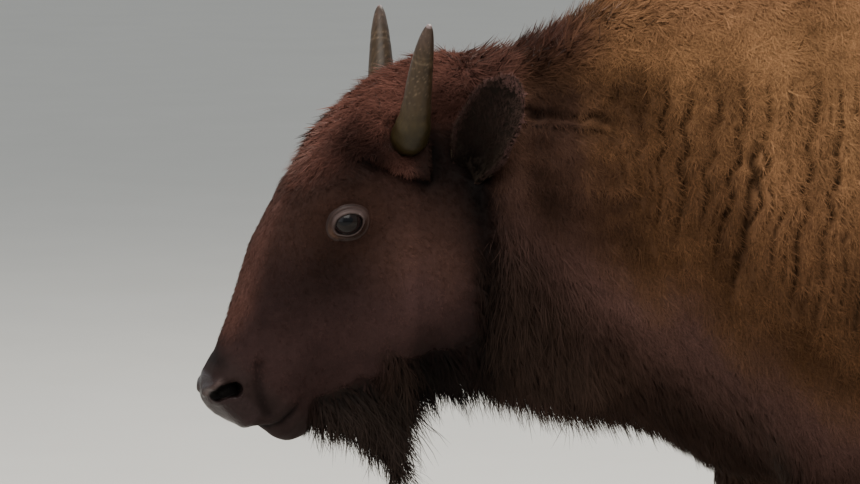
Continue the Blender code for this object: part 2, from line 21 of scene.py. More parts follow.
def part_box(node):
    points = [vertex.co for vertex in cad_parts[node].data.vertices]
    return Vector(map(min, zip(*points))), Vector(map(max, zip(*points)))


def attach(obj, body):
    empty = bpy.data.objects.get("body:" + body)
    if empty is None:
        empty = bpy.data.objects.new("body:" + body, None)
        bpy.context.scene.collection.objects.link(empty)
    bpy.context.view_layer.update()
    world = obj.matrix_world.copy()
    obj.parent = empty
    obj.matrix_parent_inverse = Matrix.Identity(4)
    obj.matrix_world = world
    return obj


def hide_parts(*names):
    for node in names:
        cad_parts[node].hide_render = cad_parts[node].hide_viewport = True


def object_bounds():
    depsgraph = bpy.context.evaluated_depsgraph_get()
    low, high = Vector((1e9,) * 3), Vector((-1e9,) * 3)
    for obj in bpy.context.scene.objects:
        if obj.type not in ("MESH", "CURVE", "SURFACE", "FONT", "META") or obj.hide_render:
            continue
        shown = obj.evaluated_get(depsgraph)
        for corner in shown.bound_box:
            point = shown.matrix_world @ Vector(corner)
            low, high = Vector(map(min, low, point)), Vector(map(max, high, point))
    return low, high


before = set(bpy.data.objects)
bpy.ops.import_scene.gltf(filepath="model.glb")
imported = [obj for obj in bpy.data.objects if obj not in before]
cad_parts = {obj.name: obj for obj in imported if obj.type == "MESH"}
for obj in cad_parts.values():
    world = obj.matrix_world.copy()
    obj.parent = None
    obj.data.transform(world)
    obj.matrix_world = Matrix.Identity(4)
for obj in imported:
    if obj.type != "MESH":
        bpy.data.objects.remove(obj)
CAD_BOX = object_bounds()

LOG = logging.getLogger("bison")
Array = np.ndarray
Triple = tuple[float, float, float]
Pair = tuple[float, float]
Spot = tuple[float, Pair, Pair]
Random = np.random.Generator
Mesh, Object, Material = bpy.types.Mesh, bpy.types.Object, bpy.types.Material
Node, NodeTree = bpy.types.Node, bpy.types.NodeTree

BODY = "root"
SIDES = {"left": -1.0, "right": 1.0}
FLESH = ("head", "nose", "neck", "chest", "barrel", "rump", "tail") + tuple(
    f"{leg}_{stretch}_{side}"
    for leg in ("foreleg", "hindleg")
    for stretch in ("upper", "cannon", "pastern")
    for side in SIDES
)
HANGING = ("beard", "tail_tuft")
CLAWS = tuple(
    f"claw_{leg}_{place}_{side}"
    for leg in ("foreleg", "hindleg")
    for place in ("inner", "outer")
    for side in SIDES
)
UP = np.array((0.0, 0.0, 1.0))


# Small numpy helpers


def unit(vectors: Array) -> Array:
    """Each vector over its own length."""
    return vectors / np.maximum(np.linalg.norm(vectors, axis=-1, keepdims=True), 1e-9)


def ease(value: Array, low: float, high: float) -> Array:
    """A smooth step, 3x^2 - 2x^3, from 0 at low to 1 at high. Low may be over high."""
    x = np.clip((value - low) / (high - low), 0.0, 1.0)
    return x * x * (3.0 - 2.0 * x)


def bump(value: Array, middle: float, reach: float) -> Array:
    """A bell, exp(-(x / reach)^2), about a middle."""
    return np.exp(-(((value - middle) / reach) ** 2))


def bell(a: Array, b: Array, middle: Pair, reach: Pair) -> Array:
    """A bell in two coordinates about a middle, the product of one bell in each."""
    return bump(a, middle[0], reach[0]) * bump(b, middle[1], reach[1])


def spots(a: Array, b: Array, rows: tuple[Spot, ...]) -> Array:
    """The sum of bells in two coordinates, each row a strength, a middle and a reach."""
    return sum(strength * bell(a, b, middle, reach) for strength, middle, reach in rows)


def linear(*tone: float) -> Array:
    """A display colour of 0 to 255 as linear light."""
    c = np.array(tone) / 255.0
    return np.where(c <= 0.04045, c / 12.92, ((c + 0.055) / 1.055) ** 2.4)


def spline(stations: Array, count: int) -> Array:
    """A smooth curve through stations, row by row.

    Args:
        stations: rows of numbers, such as x, y, z and radius.
        count: how many rows to return.

    Returns:
        Rows of a Catmull-Rom curve, evenly spaced in the station number.
    """
    rows = np.asarray(stations, float)
    padded = np.vstack([2 * rows[0] - rows[1], rows, 2 * rows[-1] - rows[-2]])
    at = np.linspace(0, len(rows) - 1, count)
    first = np.minimum(at.astype(int), len(rows) - 2)
    x = (at - first)[:, None]
    a, b, c, d = (padded[first + k] for k in range(4))
    return 0.5 * (2 * b + (c - a) * x + (2 * a - 5 * b + 4 * c - d) * x**2 + (3 * (b - c) + d - a) * x**3)


def off_line(a: Array, b: Array, line: tuple[Pair, ...]) -> Array:
    """The distance in a plane from places (a, b) to a line of straight stretches.

    Args:
        a: the first coordinate.
        b: the second one.
        line: the line's corners.

    Returns:
        The distance of each place.
    """
    spots = np.stack([a, b], -1)
    nearest = np.full(a.shape, np.inf)
    for first, last in zip(line[:-1], line[1:]):
        start, run = np.array(first), np.array(last) - np.array(first)
        share = np.clip((spots - start) @ run / (run @ run), 0, 1)
        nearest = np.minimum(nearest, np.linalg.norm(spots - start - share[..., None] * run, axis=-1))
    return nearest


class Ripple:
    """Smooth seeded noise: the mean of sines that run along several directions."""

    def __init__(self, size: float | Triple, seed: int, waves: int = 8) -> None:
        """Draws the waves.

        Args:
            size: the length of one wave in metres, or one length for each axis.
            seed: the seed of the directions and phases.
            waves: how many sines are summed.
        """
        draw = np.random.default_rng(seed)
        self.ways = unit(draw.normal(size=(waves, 3))) * draw.uniform(0.7, 1.5, (waves, 1))
        self.ways *= 2 * math.pi / np.array(size)
        self.phases = draw.uniform(0, 2 * math.pi, waves)

    def __call__(self, points: Array) -> Array:
        """The noise at points, within about -1 to 1."""
        return np.sin(points @ self.ways.T + self.phases).sum(-1) / math.sqrt(len(self.phases))


# Meshes


def build_mesh(name: str, points: Array, loops: Array, sizes: Array) -> Mesh:
    """A mesh from flat arrays.

    Args:
        name: the mesh's name.
        points: (n, 3) places.
        loops: the corners of every face, one after another.
        sizes: how many corners each face has.

    Returns:
        The mesh, shaded smooth.
    """
    mesh = bpy.data.meshes.new(name)
    mesh.vertices.add(len(points))
    mesh.vertices.foreach_set("co", np.ascontiguousarray(points, np.float32).ravel())
    mesh.loops.add(len(loops))
    mesh.loops.foreach_set("vertex_index", np.ascontiguousarray(loops, np.int32).ravel())
    mesh.polygons.add(len(sizes))
    starts = np.concatenate([[0], np.cumsum(sizes)[:-1]])
    mesh.polygons.foreach_set("loop_start", starts.astype(np.int32))
    mesh.polygons.foreach_set("use_smooth", np.ones(len(sizes), bool))
    mesh.update(calc_edges=True)
    return mesh


def add_object(mesh: Mesh) -> Object:
    """An object of the mesh's name, at the origin, in the scene.

    Args:
        mesh: the mesh.

    Returns:
        The object.
    """
    made = bpy.data.objects.new(mesh.name, mesh)
    bpy.context.scene.collection.objects.link(made)
    return made


def sheet_faces(rows: int, columns: int, wrap: bool, first: int = 0) -> Array:
    """The quads of a grid of rows by columns.

    Args:
        rows: how many rows of points.
        columns: how many points in a row.
        wrap: whether the last column joins the first.
        first: the number of the grid's first point.

    Returns:
        (n, 4) corners.
    """
    across = columns if wrap else columns - 1
    r, c = np.meshgrid(np.arange(rows - 1), np.arange(across), indexing="ij")
    n = (c + 1) % columns
    quads = [r * columns + c, r * columns + n, (r + 1) * columns + n, (r + 1) * columns + c]
    return first + np.stack(quads, -1).reshape(-1, 4)


def tube_mesh(name: str, grid: Array) -> Mesh:
    """A closed skin over rings of points, with a fan over each end.

    Args:
        name: the mesh's name.
        grid: (rings, points round a ring, 3).

    Returns:
        The closed mesh.
    """
    rings, around = grid.shape[:2]
    ends = np.stack([grid[0].mean(0), grid[-1].mean(0)])
    points = np.vstack([grid.reshape(-1, 3), ends])
    quads = sheet_faces(rings, around, True)
    k = np.arange(around)
    n = (k + 1) % around
    low = np.stack([n, k, np.full(around, rings * around)], -1)
    last = (rings - 1) * around
    high = np.stack([last + k, last + n, np.full(around, rings * around + 1)], -1)
    loops = np.concatenate([quads.ravel(), low.ravel(), high.ravel()])
    sizes = np.concatenate([np.full(len(quads), 4), np.full(2 * around, 3)])
    return turned_out(build_mesh(name, points, loops, sizes))


def ball_mesh(name: str, middle: Array, radius: float, around: int = 24) -> Mesh:
    """A ball: rings of sin(polar) stacked at cos(polar).

    Args:
        name: its name.
        middle: its middle.
        radius: its radius.
        around: how many points a ring has.

    Returns:
        The mesh.
    """
    polar = np.linspace(0.05, math.pi - 0.05, around // 2)[:, None]
    turn = np.linspace(0, 2 * math.pi, around, endpoint=False)[None, :]
    flat = np.sin(polar)
    grid = np.stack([flat * np.cos(turn), flat * np.sin(turn), np.cos(polar) + 0 * turn], -1)
    return tube_mesh(name, middle + radius * grid)


def turned_out(mesh: Mesh) -> Mesh:
    """The mesh with its faces turned outwards.

    Args:
        mesh: the mesh.

    Returns:
        The same mesh.
    """
    work = bmesh.new()
    work.from_mesh(mesh)
    bmesh.ops.recalc_face_normals(work, faces=work.faces)
    work.to_mesh(mesh)
    work.free()
    return mesh


def arrays_of(mesh: Mesh) -> tuple[Array, Array, Array]:
    """The points, triangles and vertex normals of a mesh.

    Args:
        mesh: the mesh.

    Returns:
        Three arrays with a row of three for each point, triangle and vertex.
    """
    count = len(mesh.vertices)
    points, normals = np.empty(count * 3), np.empty(count * 3)
    mesh.vertices.foreach_get("co", points)
    mesh.vertex_normals.foreach_get("vector", normals)
    mesh.calc_loop_triangles()
    corners = np.empty(len(mesh.loop_triangles) * 3, np.int32)
    mesh.loop_triangles.foreach_get("vertices", corners)
    return points.reshape(-1, 3), corners.reshape(-1, 3), normals.reshape(-1, 3)


def merged_mesh(name: str, meshes: list[Mesh], swell: float = 0.0) -> Mesh:
    """Meshes put together as one.

    Args:
        name: the new mesh's name.
        meshes: what goes in. Points that lie on each other in one mesh are merged.
        swell: how far each point moves out along its own normal.

    Returns:
        The mesh, all of triangles.
    """
    points, corners, count = [], [], 0
    for mesh in meshes:
        places, triangles, _ = arrays_of(mesh)
        merged, index = np.unique(np.round(places, 6), axis=0, return_inverse=True)
        triangles = index.reshape(-1)[triangles]
        solid = build_mesh(name, merged, triangles.ravel(), np.full(len(triangles), 3))
        _, _, normals = arrays_of(solid)
        bpy.data.meshes.remove(solid)
        points.append(merged + normals * swell)
        corners.append(triangles + count)
        count += len(merged)
    triangles = np.vstack(corners)
    return build_mesh(name, np.vstack(points), triangles.ravel(), np.full(len(triangles), 3))


def place_points(mesh: Mesh, points: Array) -> None:
    """Moves a mesh's vertices to points."""
    mesh.vertices.foreach_set("co", np.ascontiguousarray(points, np.float32).ravel())
    mesh.update()


def paint(mesh: Mesh, name: str, values: Array) -> None:
    """Writes a colour, or a number, of each vertex to a named attribute.

    Args:
        mesh: the mesh.
        name: the attribute's name.
        values: a row of three, or a number, for each vertex.
    """
    if values.ndim == 1:
        mesh.attributes.new(name, "FLOAT", "POINT").data.foreach_set("value", values)
        return
    flat = np.ones((len(values), 4), np.float32)
    flat[:, :3] = values
    mesh.attributes.new(name, "FLOAT_COLOR", "POINT").data.foreach_set("color", flat.ravel())


def tree_of(mesh: Mesh) -> BVHTree:
    """A search tree over a mesh's triangles."""
    points, triangles, _ = arrays_of(mesh)
    return BVHTree.FromPolygons(points.tolist(), triangles.tolist())


def draped(tree: BVHTree, starts: Array, way: Array, reach: float) -> Array:
    """Where rays along one way meet a surface.

    Args:
        tree: the surface.
        starts: (n, 3) starts of the rays, inside the surface.
        way: their direction.
        reach: where a ray ends if it meets nothing.

    Returns:
        (n, 3) places.
    """
    found = []
    for start in starts.tolist():
        hit = tree.ray_cast(start, way.tolist(), reach * 3)[0]
        found.append(tuple(hit) if hit is not None else tuple(Vector(start) + Vector(way) * reach))
    return np.array(found)


def grid_normals(grid: Array) -> Array:
    """The normals of an open (rows, columns, 3) grid, the cross product of its two differences."""
    return unit(np.cross(np.gradient(grid, axis=1), np.gradient(grid, axis=0)))


# Landmarks


@dataclass(frozen=True)
class Anatomy:
    """Landmarks of the animal, read from the frame.

    The head has axes of its own: s runs down the face to the muzzle, t runs out of the
    forehead, and both start on the line between the eyes.
    """

    eye: Array
    pitch: float

    @classmethod
    def from_frame(cls) -> "Anatomy":
        """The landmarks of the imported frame."""
        low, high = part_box("eye_left")
        return cls(eye=(np.array(low) + np.array(high)) / 2, pitch=math.radians(52.0))

    def to_head(self, points: Array) -> tuple[Array, Array, Array]:
        """The s, t and distance from the middle plane of points.

        Args:
            points: places.

        Returns:
            The three coordinates, an array each.
        """
        x, z = points[..., 0] - self.eye[0], points[..., 2] - self.eye[2]
        c, k = math.cos(self.pitch), math.sin(self.pitch)
        return -x * c - z * k, -x * k + z * c, np.abs(points[..., 1])

    def off_lid(self, points: Array) -> Array:
        """How far outside the rim of either eye's opening points lie, along the face; 1 far from the eyes.

        Below and behind the opening it runs faster, as the lids are narrower there.

        Args:
            points: places.

        Returns:
            The distance of each place, less than 0 inside the rim.
        """
        folded = np.concatenate([points[:, :1], np.abs(points[:, 1:2]), points[:, 2:]], 1)
        local = folded - self.eye * (1, -1, 1)
        axes = EyeAxes.of_side(1.0)
        back, up = local @ axes.back - EyeAxes.MOVED[0], local @ axes.up - EyeAxes.MOVED[1]
        oval = np.maximum(np.hypot(back / EyeAxes.LONG, up / EyeAxes.HIGH), 1e-3)
        near = np.linalg.norm(local, axis=1) < 0.06
        narrow = 1 + 0.45 * ease(up / EyeAxes.HIGH - 0.4 * back / EyeAxes.LONG, 0.2, -0.8)
        return np.where(near, np.hypot(back, up) * (1 - 1 / oval) * narrow, 1.0)

    def socket(self, points: Array) -> Array:
        """How deep the skin is pressed in under the lids at points."""
        off = self.off_lid(points)
        return 0.010 * ease(off, 0.0045, -0.001) + 0.0030 * ease(off, 0.0138, 0.0098)


@dataclass(frozen=True)
class EyeAxes:
    """The ways out of an eye, towards its rear corner and up its opening."""

    out: Array
    back: Array
    up: Array

    LONG = 0.0181
    HIGH = 0.0128
    TILT = 17.0
    MOVED = (0.0022, -0.0040)

    @classmethod
    def of_side(cls, sign: float) -> "EyeAxes":
        """The axes of the eye on one side.

        Args:
            sign: 1 for the left side, -1 for the right.

        Returns:
            The axes.
        """
        out = unit(np.array((-0.24, sign, 0.06)))
        rise = math.radians(cls.TILT)
        back = np.array((math.cos(rise), 0.0, math.sin(rise)))
        back = unit(back - out * (back @ out))
        up = np.cross(back, out)
        return cls(out, back, up if up[2] > 0 else -up)


# How the coat grows


@dataclass(frozen=True)
class Growth:
    """One kind of hair. Lengths are in metres and lift in degrees from the skin.

    Sink is how deep the skin lies under the outline, lie is the way the hair lies, root and
    tip are its colours. Curl is how far a strand waves, messy how much its way strays in
    radians, clump how far locks draw together, droop how much it hangs, patchy how much one
    clump differs from the next, and stray the share of long loose locks.
    """

    length: float
    width: float
    lift: float
    sink: float
    lie: Triple
    root: Triple
    tip: Triple
    curl: float = 0.0
    messy: float = 0.2
    clump: float = 0.2
    droop: float = 0.0
    patchy: float = 0.06
    cover: float = 1.0
    stray: float = 0.0


class Kind(Enum):
    """The kinds of hair, from the plain flank to the places that grow their own."""

    FLANK = Growth(
        0.024, 0.0014, 13, 0.008, (1, 0, -0.35), (70, 48, 32), (112, 78, 51), messy=0.30, patchy=0.10,
    )
    RUMP = Growth(
        0.020, 0.0014, 12, 0.007, (0.8, 0, -0.9), (58, 39, 27), (94, 66, 45), messy=0.28, patchy=0.08,
    )
    BELLY = Growth(
        0.036, 0.0015, 18, 0.012, (0.5, 0, -1), (38, 26, 19), (62, 43, 32),
        messy=0.3, droop=0.3, patchy=0.08,
    )
    WOOL = Growth(
        0.027, 0.0008, 20, 0.019, (0.30, 0, -1), (100, 72, 48), (160, 117, 80),
        curl=0.0050, messy=0.85, clump=0.14, patchy=0.09, cover=1.5, stray=0.03,
    )
    SHOULDER = Growth(
        0.027, 0.0009, 14, 0.015, (0.35, 0, -1), (84, 59, 41), (130, 92, 62),
        curl=0.0036, messy=0.65, clump=0.15, patchy=0.08, stray=0.02,
    )
    CREST = Growth(
        0.036, 0.0009, 30, 0.022, (0.8, 0, -0.05), (100, 70, 50), (160, 116, 84),
        curl=0.0040, messy=0.7, clump=0.15, patchy=0.08, cover=1.3, stray=0.10,
    )
    NECK = Growth(
        0.022, 0.0010, 15, 0.012, (0.45, 0, -0.9), (56, 39, 35), (86, 61, 54),
        curl=0.0014, messy=0.34, patchy=0.05, cover=1.1, stray=0.01,
    )
    BRISKET = Growth(
        0.034, 0.0013, 18, 0.016, (0.30, 0, -1), (27, 18, 14), (42, 28, 22),
        curl=0.0018, messy=0.3, droop=0.4, patchy=0.06, stray=0.02,
    )
    THROAT = Growth(
        0.054, 0.0012, 24, 0.014, (0.40, 0, -1), (28, 20, 17), (56, 41, 34),
        curl=0.0055, messy=0.5, clump=0.2, droop=0.9, patchy=0.08, cover=2.2, stray=0.30,
    )
    NAPE = Growth(
        0.032, 0.0008, 42, 0.022, (0.85, 0, 0.2), (58, 37, 32), (96, 64, 55),
        curl=0.0034, messy=0.75, clump=0.12, patchy=0.08, cover=1.8, stray=0.16,
    )
    JAW = Growth(0.010, 0.0009, 13, 0.004, (0.62, 0, -0.75), (44, 29, 25), (58, 39, 33), messy=0.2)
    FACE = Growth(0.008, 0.0009, 13, 0.003, (0.10, 0, -1), (39, 26, 24), (50, 34, 32), messy=0.2)
    BROW = Growth(0.007, 0.0008, 16, 0.003, (0.5, 0, -0.6), (42, 27, 22), (58, 38, 31), messy=0.25)
    MOP = Growth(
        0.022, 0.0009, 32, 0.015, (-0.75, 0, -0.35), (68, 43, 37), (116, 76, 65),
        curl=0.0036, messy=0.95, clump=0.14, patchy=0.09, cover=1.8, stray=0.06,
    )
    BRIDGE = Growth(
        0.011, 0.0009, 20, 0.005, (-0.45, 0, -0.9), (60, 39, 34), (96, 65, 57), messy=0.3, cover=1.2,
    )
    CHIN = Growth(0.0045, 0.0009, 12, 0.002, (0.3, 0, -1), (36, 26, 24), (46, 34, 32))
    BARE = Growth(0.003, 0.0009, 12, 0.0005, (0, 0, -1), (34, 25, 24), (44, 33, 32), cover=0.0)
    BEARD = Growth(
        0.060, 0.0014, 17, 0.021, (0.75, 0, -1), (20, 16, 15), (48, 38, 33),
        curl=0.0060, messy=0.45, clump=0.3, droop=0.7, patchy=0.10, cover=2.6, stray=0.10,
    )
    SLEEVE = Growth(
        0.036, 0.0015, 16, 0.010, (0.15, 0, -1), (34, 24, 18), (56, 39, 30),
        curl=0.002, messy=0.3, droop=0.3, patchy=0.08,
    )
    SHANK = Growth(0.012, 0.0012, 12, 0.003, (0.05, 0, -1), (38, 27, 20), (54, 38, 29), messy=0.15)
    TAIL = Growth(0.022, 0.0015, 14, 0.006, (0.1, 0, -1), (40, 28, 20), (64, 45, 33), cover=1.6)
    SWITCH = Growth(
        0.085, 0.0018, 12, 0.014, (0.05, 0, -1), (20, 14, 11), (42, 29, 22),
        curl=0.005, messy=0.25, clump=0.4, droop=1.0, cover=3.0, stray=0.04,
    )
    EAR_BACK = Growth(
        0.009, 0.0009, 18, 0.001, (0.3, 0, 0.9), (26, 18, 15), (48, 33, 28), messy=0.3, patchy=0.06,
    )
    EAR_RIM = Growth(
        0.009, 0.0008, 30, 0.001, (0.3, 0, 0.9), (50, 36, 33), (108, 79, 74), messy=0.4, cover=1.8,
    )
    EAR_INSIDE = Growth(
        0.016, 0.0009, 18, 0.001, (0.3, 0, 0.9), (40, 31, 28), (66, 50, 44), messy=0.5, cover=1.3,
    )


KINDS = tuple(Kind)
INDEX = {kind: number for number, kind in enumerate(KINDS)}


class Layers:
    """Shares of the kinds of hair at points, laid one over another."""

    def __init__(self, count: int, first: Kind) -> None:
        """Starts with one kind everywhere."""
        self.found = np.zeros((count, len(KINDS)))
        self.found[:, INDEX[first]] = 1.0

    def lay(self, kind: Kind, cover: Array) -> None:
        """Lays one kind over the rest: what it takes is taken from all of them."""
        self.found *= 1.0 - cover[:, None]
        self.found[:, INDEX[kind]] += cover


class Pelage:
    """Which kind of hair grows where, and every number and colour that follows from it.

    The mop's hairline is places in t and s. Painted shade and painted light are the spots of the
    face, neck light the lighter spots of the neck, and the flap is the edge of hair under a horn's
    foot, all in x and z.
    """

    HAIRLINE = (
        (-0.10, -0.175), (-0.03, -0.118), (0.023, -0.098), (0.046, -0.062), (0.058, -0.034), (0.080, 0.004),
    )
    # Spots of painted shade: before and under the horns, over the eye, at the temple, in the groove behind
    # the cheek, under the eye, at the front of the cheek and under the jaw.
    PAINTED_SHADE = (
        (0.60, (-0.758, 0.962), (0.046, 0.036)), (0.45, (-0.716, 0.930), (0.030, 0.060)),
        (0.45, (-0.885, 0.850), (0.045, 0.055)), (0.25, (-0.760, 0.735), (0.070, 0.028)),
        (0.30, (-0.940, 0.815), (0.050, 0.050)), (0.50, (-0.850, 1.018), (0.038, 0.046)),
        (0.70, (-0.848, 0.985), (0.042, 0.028)), (0.35, (-0.884, 0.952), (0.030, 0.022)),
    )
    # Spots painted lighter on the cheek: its paler reddish hair, and painted light where the cheek turns away
    # from the lamp.
    PAINTED_LIGHT = (
        (0.60, (-0.785, 0.830), (0.055, 0.080)), (0.50, (-0.735, 0.790), (0.045, 0.050)),
        (1.00, (-0.757, 0.815), (0.034, 0.075)),
    )
    NECK_LIGHT = ((0.25, (-0.50, 0.80), (0.11, 0.06)), (0.70, (-0.54, 0.715), (0.06, 0.03)))
    FLAP = ((-0.861, 0.981), (-0.825, 0.974), (-0.797, 0.959), (-0.771, 0.950))
    FLAP_END = (-0.767, 0.988)

    def __init__(self, anatomy: Anatomy) -> None:
        """Keeps the landmarks and the noises.

        Args:
            anatomy: the animal's landmarks.
        """
        self.anatomy = anatomy
        self.edge = Ripple(0.11, 3)
        self.fine = Ripple(0.035, 4)
        self.upright = Ripple((0.05, 0.2, 0.16), 7)
        self.beard_low, self.beard_high = (np.array(v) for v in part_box("beard"))
        self.tail_low, self.tail_high = (np.array(v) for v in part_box("tail"))
        self.sleeve = {leg: float(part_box(f"{leg}_upper_left")[1].z) for leg in ("foreleg", "hindleg")}

    def shares(self, points: Array) -> Array:
        """The share of each kind of hair at points.

        Args:
            points: (n, 3) places on the skin.

        Returns:
            (n, kinds) shares that sum to 1.
        """
        x, _, z = points.T
        s, t, y = self.anatomy.to_head(points)
        wave = 0.014 * self.edge(points) + 0.006 * self.fine(points)
        layers = Layers(len(points), Kind.FLANK)
        lay = layers.lay
        border = 0.928 - 0.626 * (np.minimum(x, -0.22) + 0.612) + wave
        front = ease(x + 0.5 * wave, 0.27, -0.03)
        lay(Kind.RUMP, ease(x + wave, 0.48, 0.66))
        lay(Kind.BELLY, ease(z, 0.74, 0.62) * ease(x, -0.10, 0.10) * ease(z, 0.50, 0.56))
        lay(Kind.SHOULDER, front)
        lay(Kind.WOOL, front * ease(z + 0.35 * x + wave, 0.76, 0.98))
        lay(Kind.CREST, front * ease(z - 0.20 * x, 1.19, 1.30) * ease(x, -0.62, -0.50))
        lay(Kind.NECK, front * ease(z - border, 0.03, -0.09) * ease(x, 0.02, -0.10))
        lay(Kind.NECK, 0.75 * ease(x + wave, -0.50, -0.60) * ease(z, 1.13, 1.04))
        lay(Kind.BRISKET, ease(z - border, -0.08, -0.17) * ease(x, -0.02, -0.16))
        lay(Kind.THROAT, ease(x + 0.5 * z + wave, -0.12, -0.26) * ease(z - border, -0.02, -0.13))
        lay(Kind.NAPE, ease(z - 0.25 * x, 1.215, 1.26) * ease(x, -0.50, -0.60))
        head = ease(x + 1.2 * wave, -0.684, -0.726) * ease(t + 0.5 * s, -0.31, -0.27)
        crown = ease(x, -0.640, -0.675) * ease(z, 1.02, 1.05)
        lay(Kind.JAW, head)
        lay(Kind.FACE, head * ease(s - 0.7 * t + wave, 0.04, 0.14))
        lay(Kind.CHIN, head * ease(t + 0.3 * s, -0.055, -0.075) * ease(s, 0.18, 0.21))
        near_eye = np.hypot(s / 0.055, (t - 0.004) / 0.045)
        lay(Kind.BROW, head * ease(near_eye, 1.25, 0.85) * ease(y, 0.05, 0.07))
        mop = ease(s - np.interp(t, *zip(*self.HAIRLINE)) + 0.6 * wave, 0.042, -0.036)
        mop = mop * (1 - ease(x, -0.800, -0.780) * ease(z, 1.035, 1.01) * ease(y, 0.05, 0.08))
        behind_mop = crown * ease(z - 0.25 * x, 1.245, 1.225) * ease(z, 1.00, 1.03)
        lay(Kind.MOP, np.maximum(head * mop, behind_mop))
        bridge = head * ease(y, 0.060, 0.025) * ease(t, 0.0, 0.03) * ease(s, -0.01, 0.04)
        lay(Kind.BRIDGE, bridge * ease(s, 0.235, 0.19))
        lay(Kind.NAPE, crown * ease(x, -0.73, -0.68) * ease(z, 1.04, 1.08))
        lay(Kind.CHIN, head * ease(s, 0.215, 0.245))
        lay(Kind.BARE, self.bare(points))
        lay(Kind.THROAT, ease(z + wave, 0.722, 0.690) * ease(x, -0.835, -0.795) * ease(x, -0.60, -0.68))
        lay(Kind.BEARD, self.bearded(points))
        fore, hind = self.sleeve["foreleg"], self.sleeve["hindleg"]
        lay(Kind.SLEEVE, ease(z, fore + 0.05, fore - 0.02) * ease(x, 0.2, 0.0) * ease(x, -0.5, -0.42))
        lay(Kind.SLEEVE, 0.6 * ease(z, hind, hind - 0.08) * ease(x, 0.4, 0.5))
        lay(Kind.SHANK, ease(z, 0.42, 0.33) * ease(x, 0.2, 0.0) * ease(x, -0.5, -0.42))
        lay(Kind.SHANK, ease(z, 0.50, 0.42) * ease(x, 0.4, 0.5) * ease(x, 0.90, 0.87))
        behind = ease(x, self.tail_low[0] - 0.02, self.tail_low[0] + 0.01) * ease(y, 0.055, 0.040)
        lay(Kind.TAIL, behind * ease(z, self.tail_high[2] + 0.02, self.tail_high[2] - 0.03))
        lay(Kind.SWITCH, behind * ease(z, self.tail_low[2] + 0.08, self.tail_low[2] + 0.01))
        return layers.found

    def bare(self, points: Array) -> Array:
        """1 on the moist pad about the nostrils and down to the lip, 0 elsewhere.

        Args:
            points: places.

        Returns:
            The share of bare skin at each place.
        """
        s, t, y = self.anatomy.to_head(points)
        pad = ease(s + 0.25 * np.maximum(y - 0.045, 0.0), 0.258, 0.267) * ease(t, 0.013, 0.006)
        return pad * ease(t, -0.078, -0.068) * ease(points[:, 0], -0.9, -0.95)

    def bearded(self, points: Array) -> Array:
        """1 where the beard grows: under the chin and on the beard's own core.

        Args:
            points: places.

        Returns:
            The share of beard at each place.
        """
        x, _, z = points.T
        low, high = self.beard_low, self.beard_high
        over = ease(x, low[0] - 0.036, low[0] - 0.010) * ease(x, high[0] + 0.02, high[0] - 0.03)
        under = 0.664 + 0.34 * (x + 0.913) + 0.006 * self.fine(points) - z
        y = np.abs(points[:, 1])
        return over * ease(y, high[1] + 0.012, high[1] - 0.008) * ease(under, -0.006, 0.014)

    def number(self, shares: Array, name: str) -> Array:
        """One number of the growths, mixed by shares."""
        return shares @ np.array([getattr(kind.value, name) for kind in KINDS])

    def tones(self, shares: Array) -> tuple[Array, Array]:
        """The colours at the root and at the tip, mixed by shares.

        Args:
            shares: how much of each kind of hair grows there.

        Returns:
            The colour at the root and the one at the tip, for each place.
        """
        roots = np.array([linear(*kind.value.root) for kind in KINDS])
        tips = np.array([linear(*kind.value.tip) for kind in KINDS])
        return shares @ roots, shares @ tips

    def lie(self, points: Array, normals: Array, shares: Array) -> Array:
        """The way the hair lies at points, along the skin: it swirls out from each eye.

        Args:
            points: places.
            normals: the skin's normals there.
            shares: how much of each kind of hair grows there.

        Returns:
            A unit vector for each place.
        """
        ways = shares @ np.array([kind.value.lie for kind in KINDS])
        ways += 0.10 * np.stack([self.fine(points), 0 * points[:, 0], self.edge(points)], -1)
        folded = points * (1, 0, 1) + np.abs(points) * (0, 1, 0)
        out = folded - self.anatomy.eye * (1, -1, 1)
        close = bump(np.linalg.norm(out, axis=1), 0.0, 0.036)[:, None]
        ways = ways * (1 - close) + unit(out) * (1, 0, 1) * close
        return unit(ways - normals * (ways * normals).sum(1, keepdims=True))

    def shade(self, points: Array) -> Array:
        """How light each colour of the coat is: patches, painted shade and light on the face, the gold of the
        wool.

        Args:
            points: (n, 3) places.

        Returns:
            (n, 3) factors of red, green and blue.
        """
        x, _, z = points.T
        s, t, y = self.anatomy.to_head(points)
        head = ease(x, -0.63, -0.68) * ease(t + 0.5 * s, -0.33, -0.28)
        level = 1.0 + 0.06 * self.edge(points) + 0.05 * self.fine(points)
        # Painted shade and painted light of the face from the tables above, and a line of painted shade down
        # the groove behind the cheek.
        dark = spots(x, z, self.PAINTED_SHADE)
        dark += 0.35 * bump(x + 0.10 * (z - 0.85), -0.700, 0.013) * ease(z, 1.03, 0.96)
        light = spots(x, z, self.PAINTED_LIGHT) + 0.25 * bell(s, t, (0.150, -0.045), (0.06, 0.03))
        side = ease(y, 0.03, 0.06)
        face = head * side
        level = level * (1 - face * np.clip(dark, 0, 0.85)) * (1 + face * light)
        # Painted light: the cheek behind the edge where it turns from the lamp, and a spot low at its front,
        # are lightened.
        cheek_painted_light = ease(x, -0.781, -0.765) * ease(x, -0.690, -0.735) * ease(z, 0.985, 0.93) * ease(z, 0.69, 0.75)
        level = level * (1 + face * (cheek_painted_light + 0.6 * bell(x, z, (-0.835, 0.752), (0.050, 0.034))))
        level = level * (1 - 0.15 * ease(x, -0.575, -0.64) * ease(x, -0.72, -0.68) * ease(z, 0.98, 0.90))
        # Painted shade behind the ear's root.
        level = level * (1 - 0.50 * side * bell(x, z, (-0.640, 0.955), (0.038, 0.062)))
        level = level * (1 + spots(x, z, self.NECK_LIGHT))
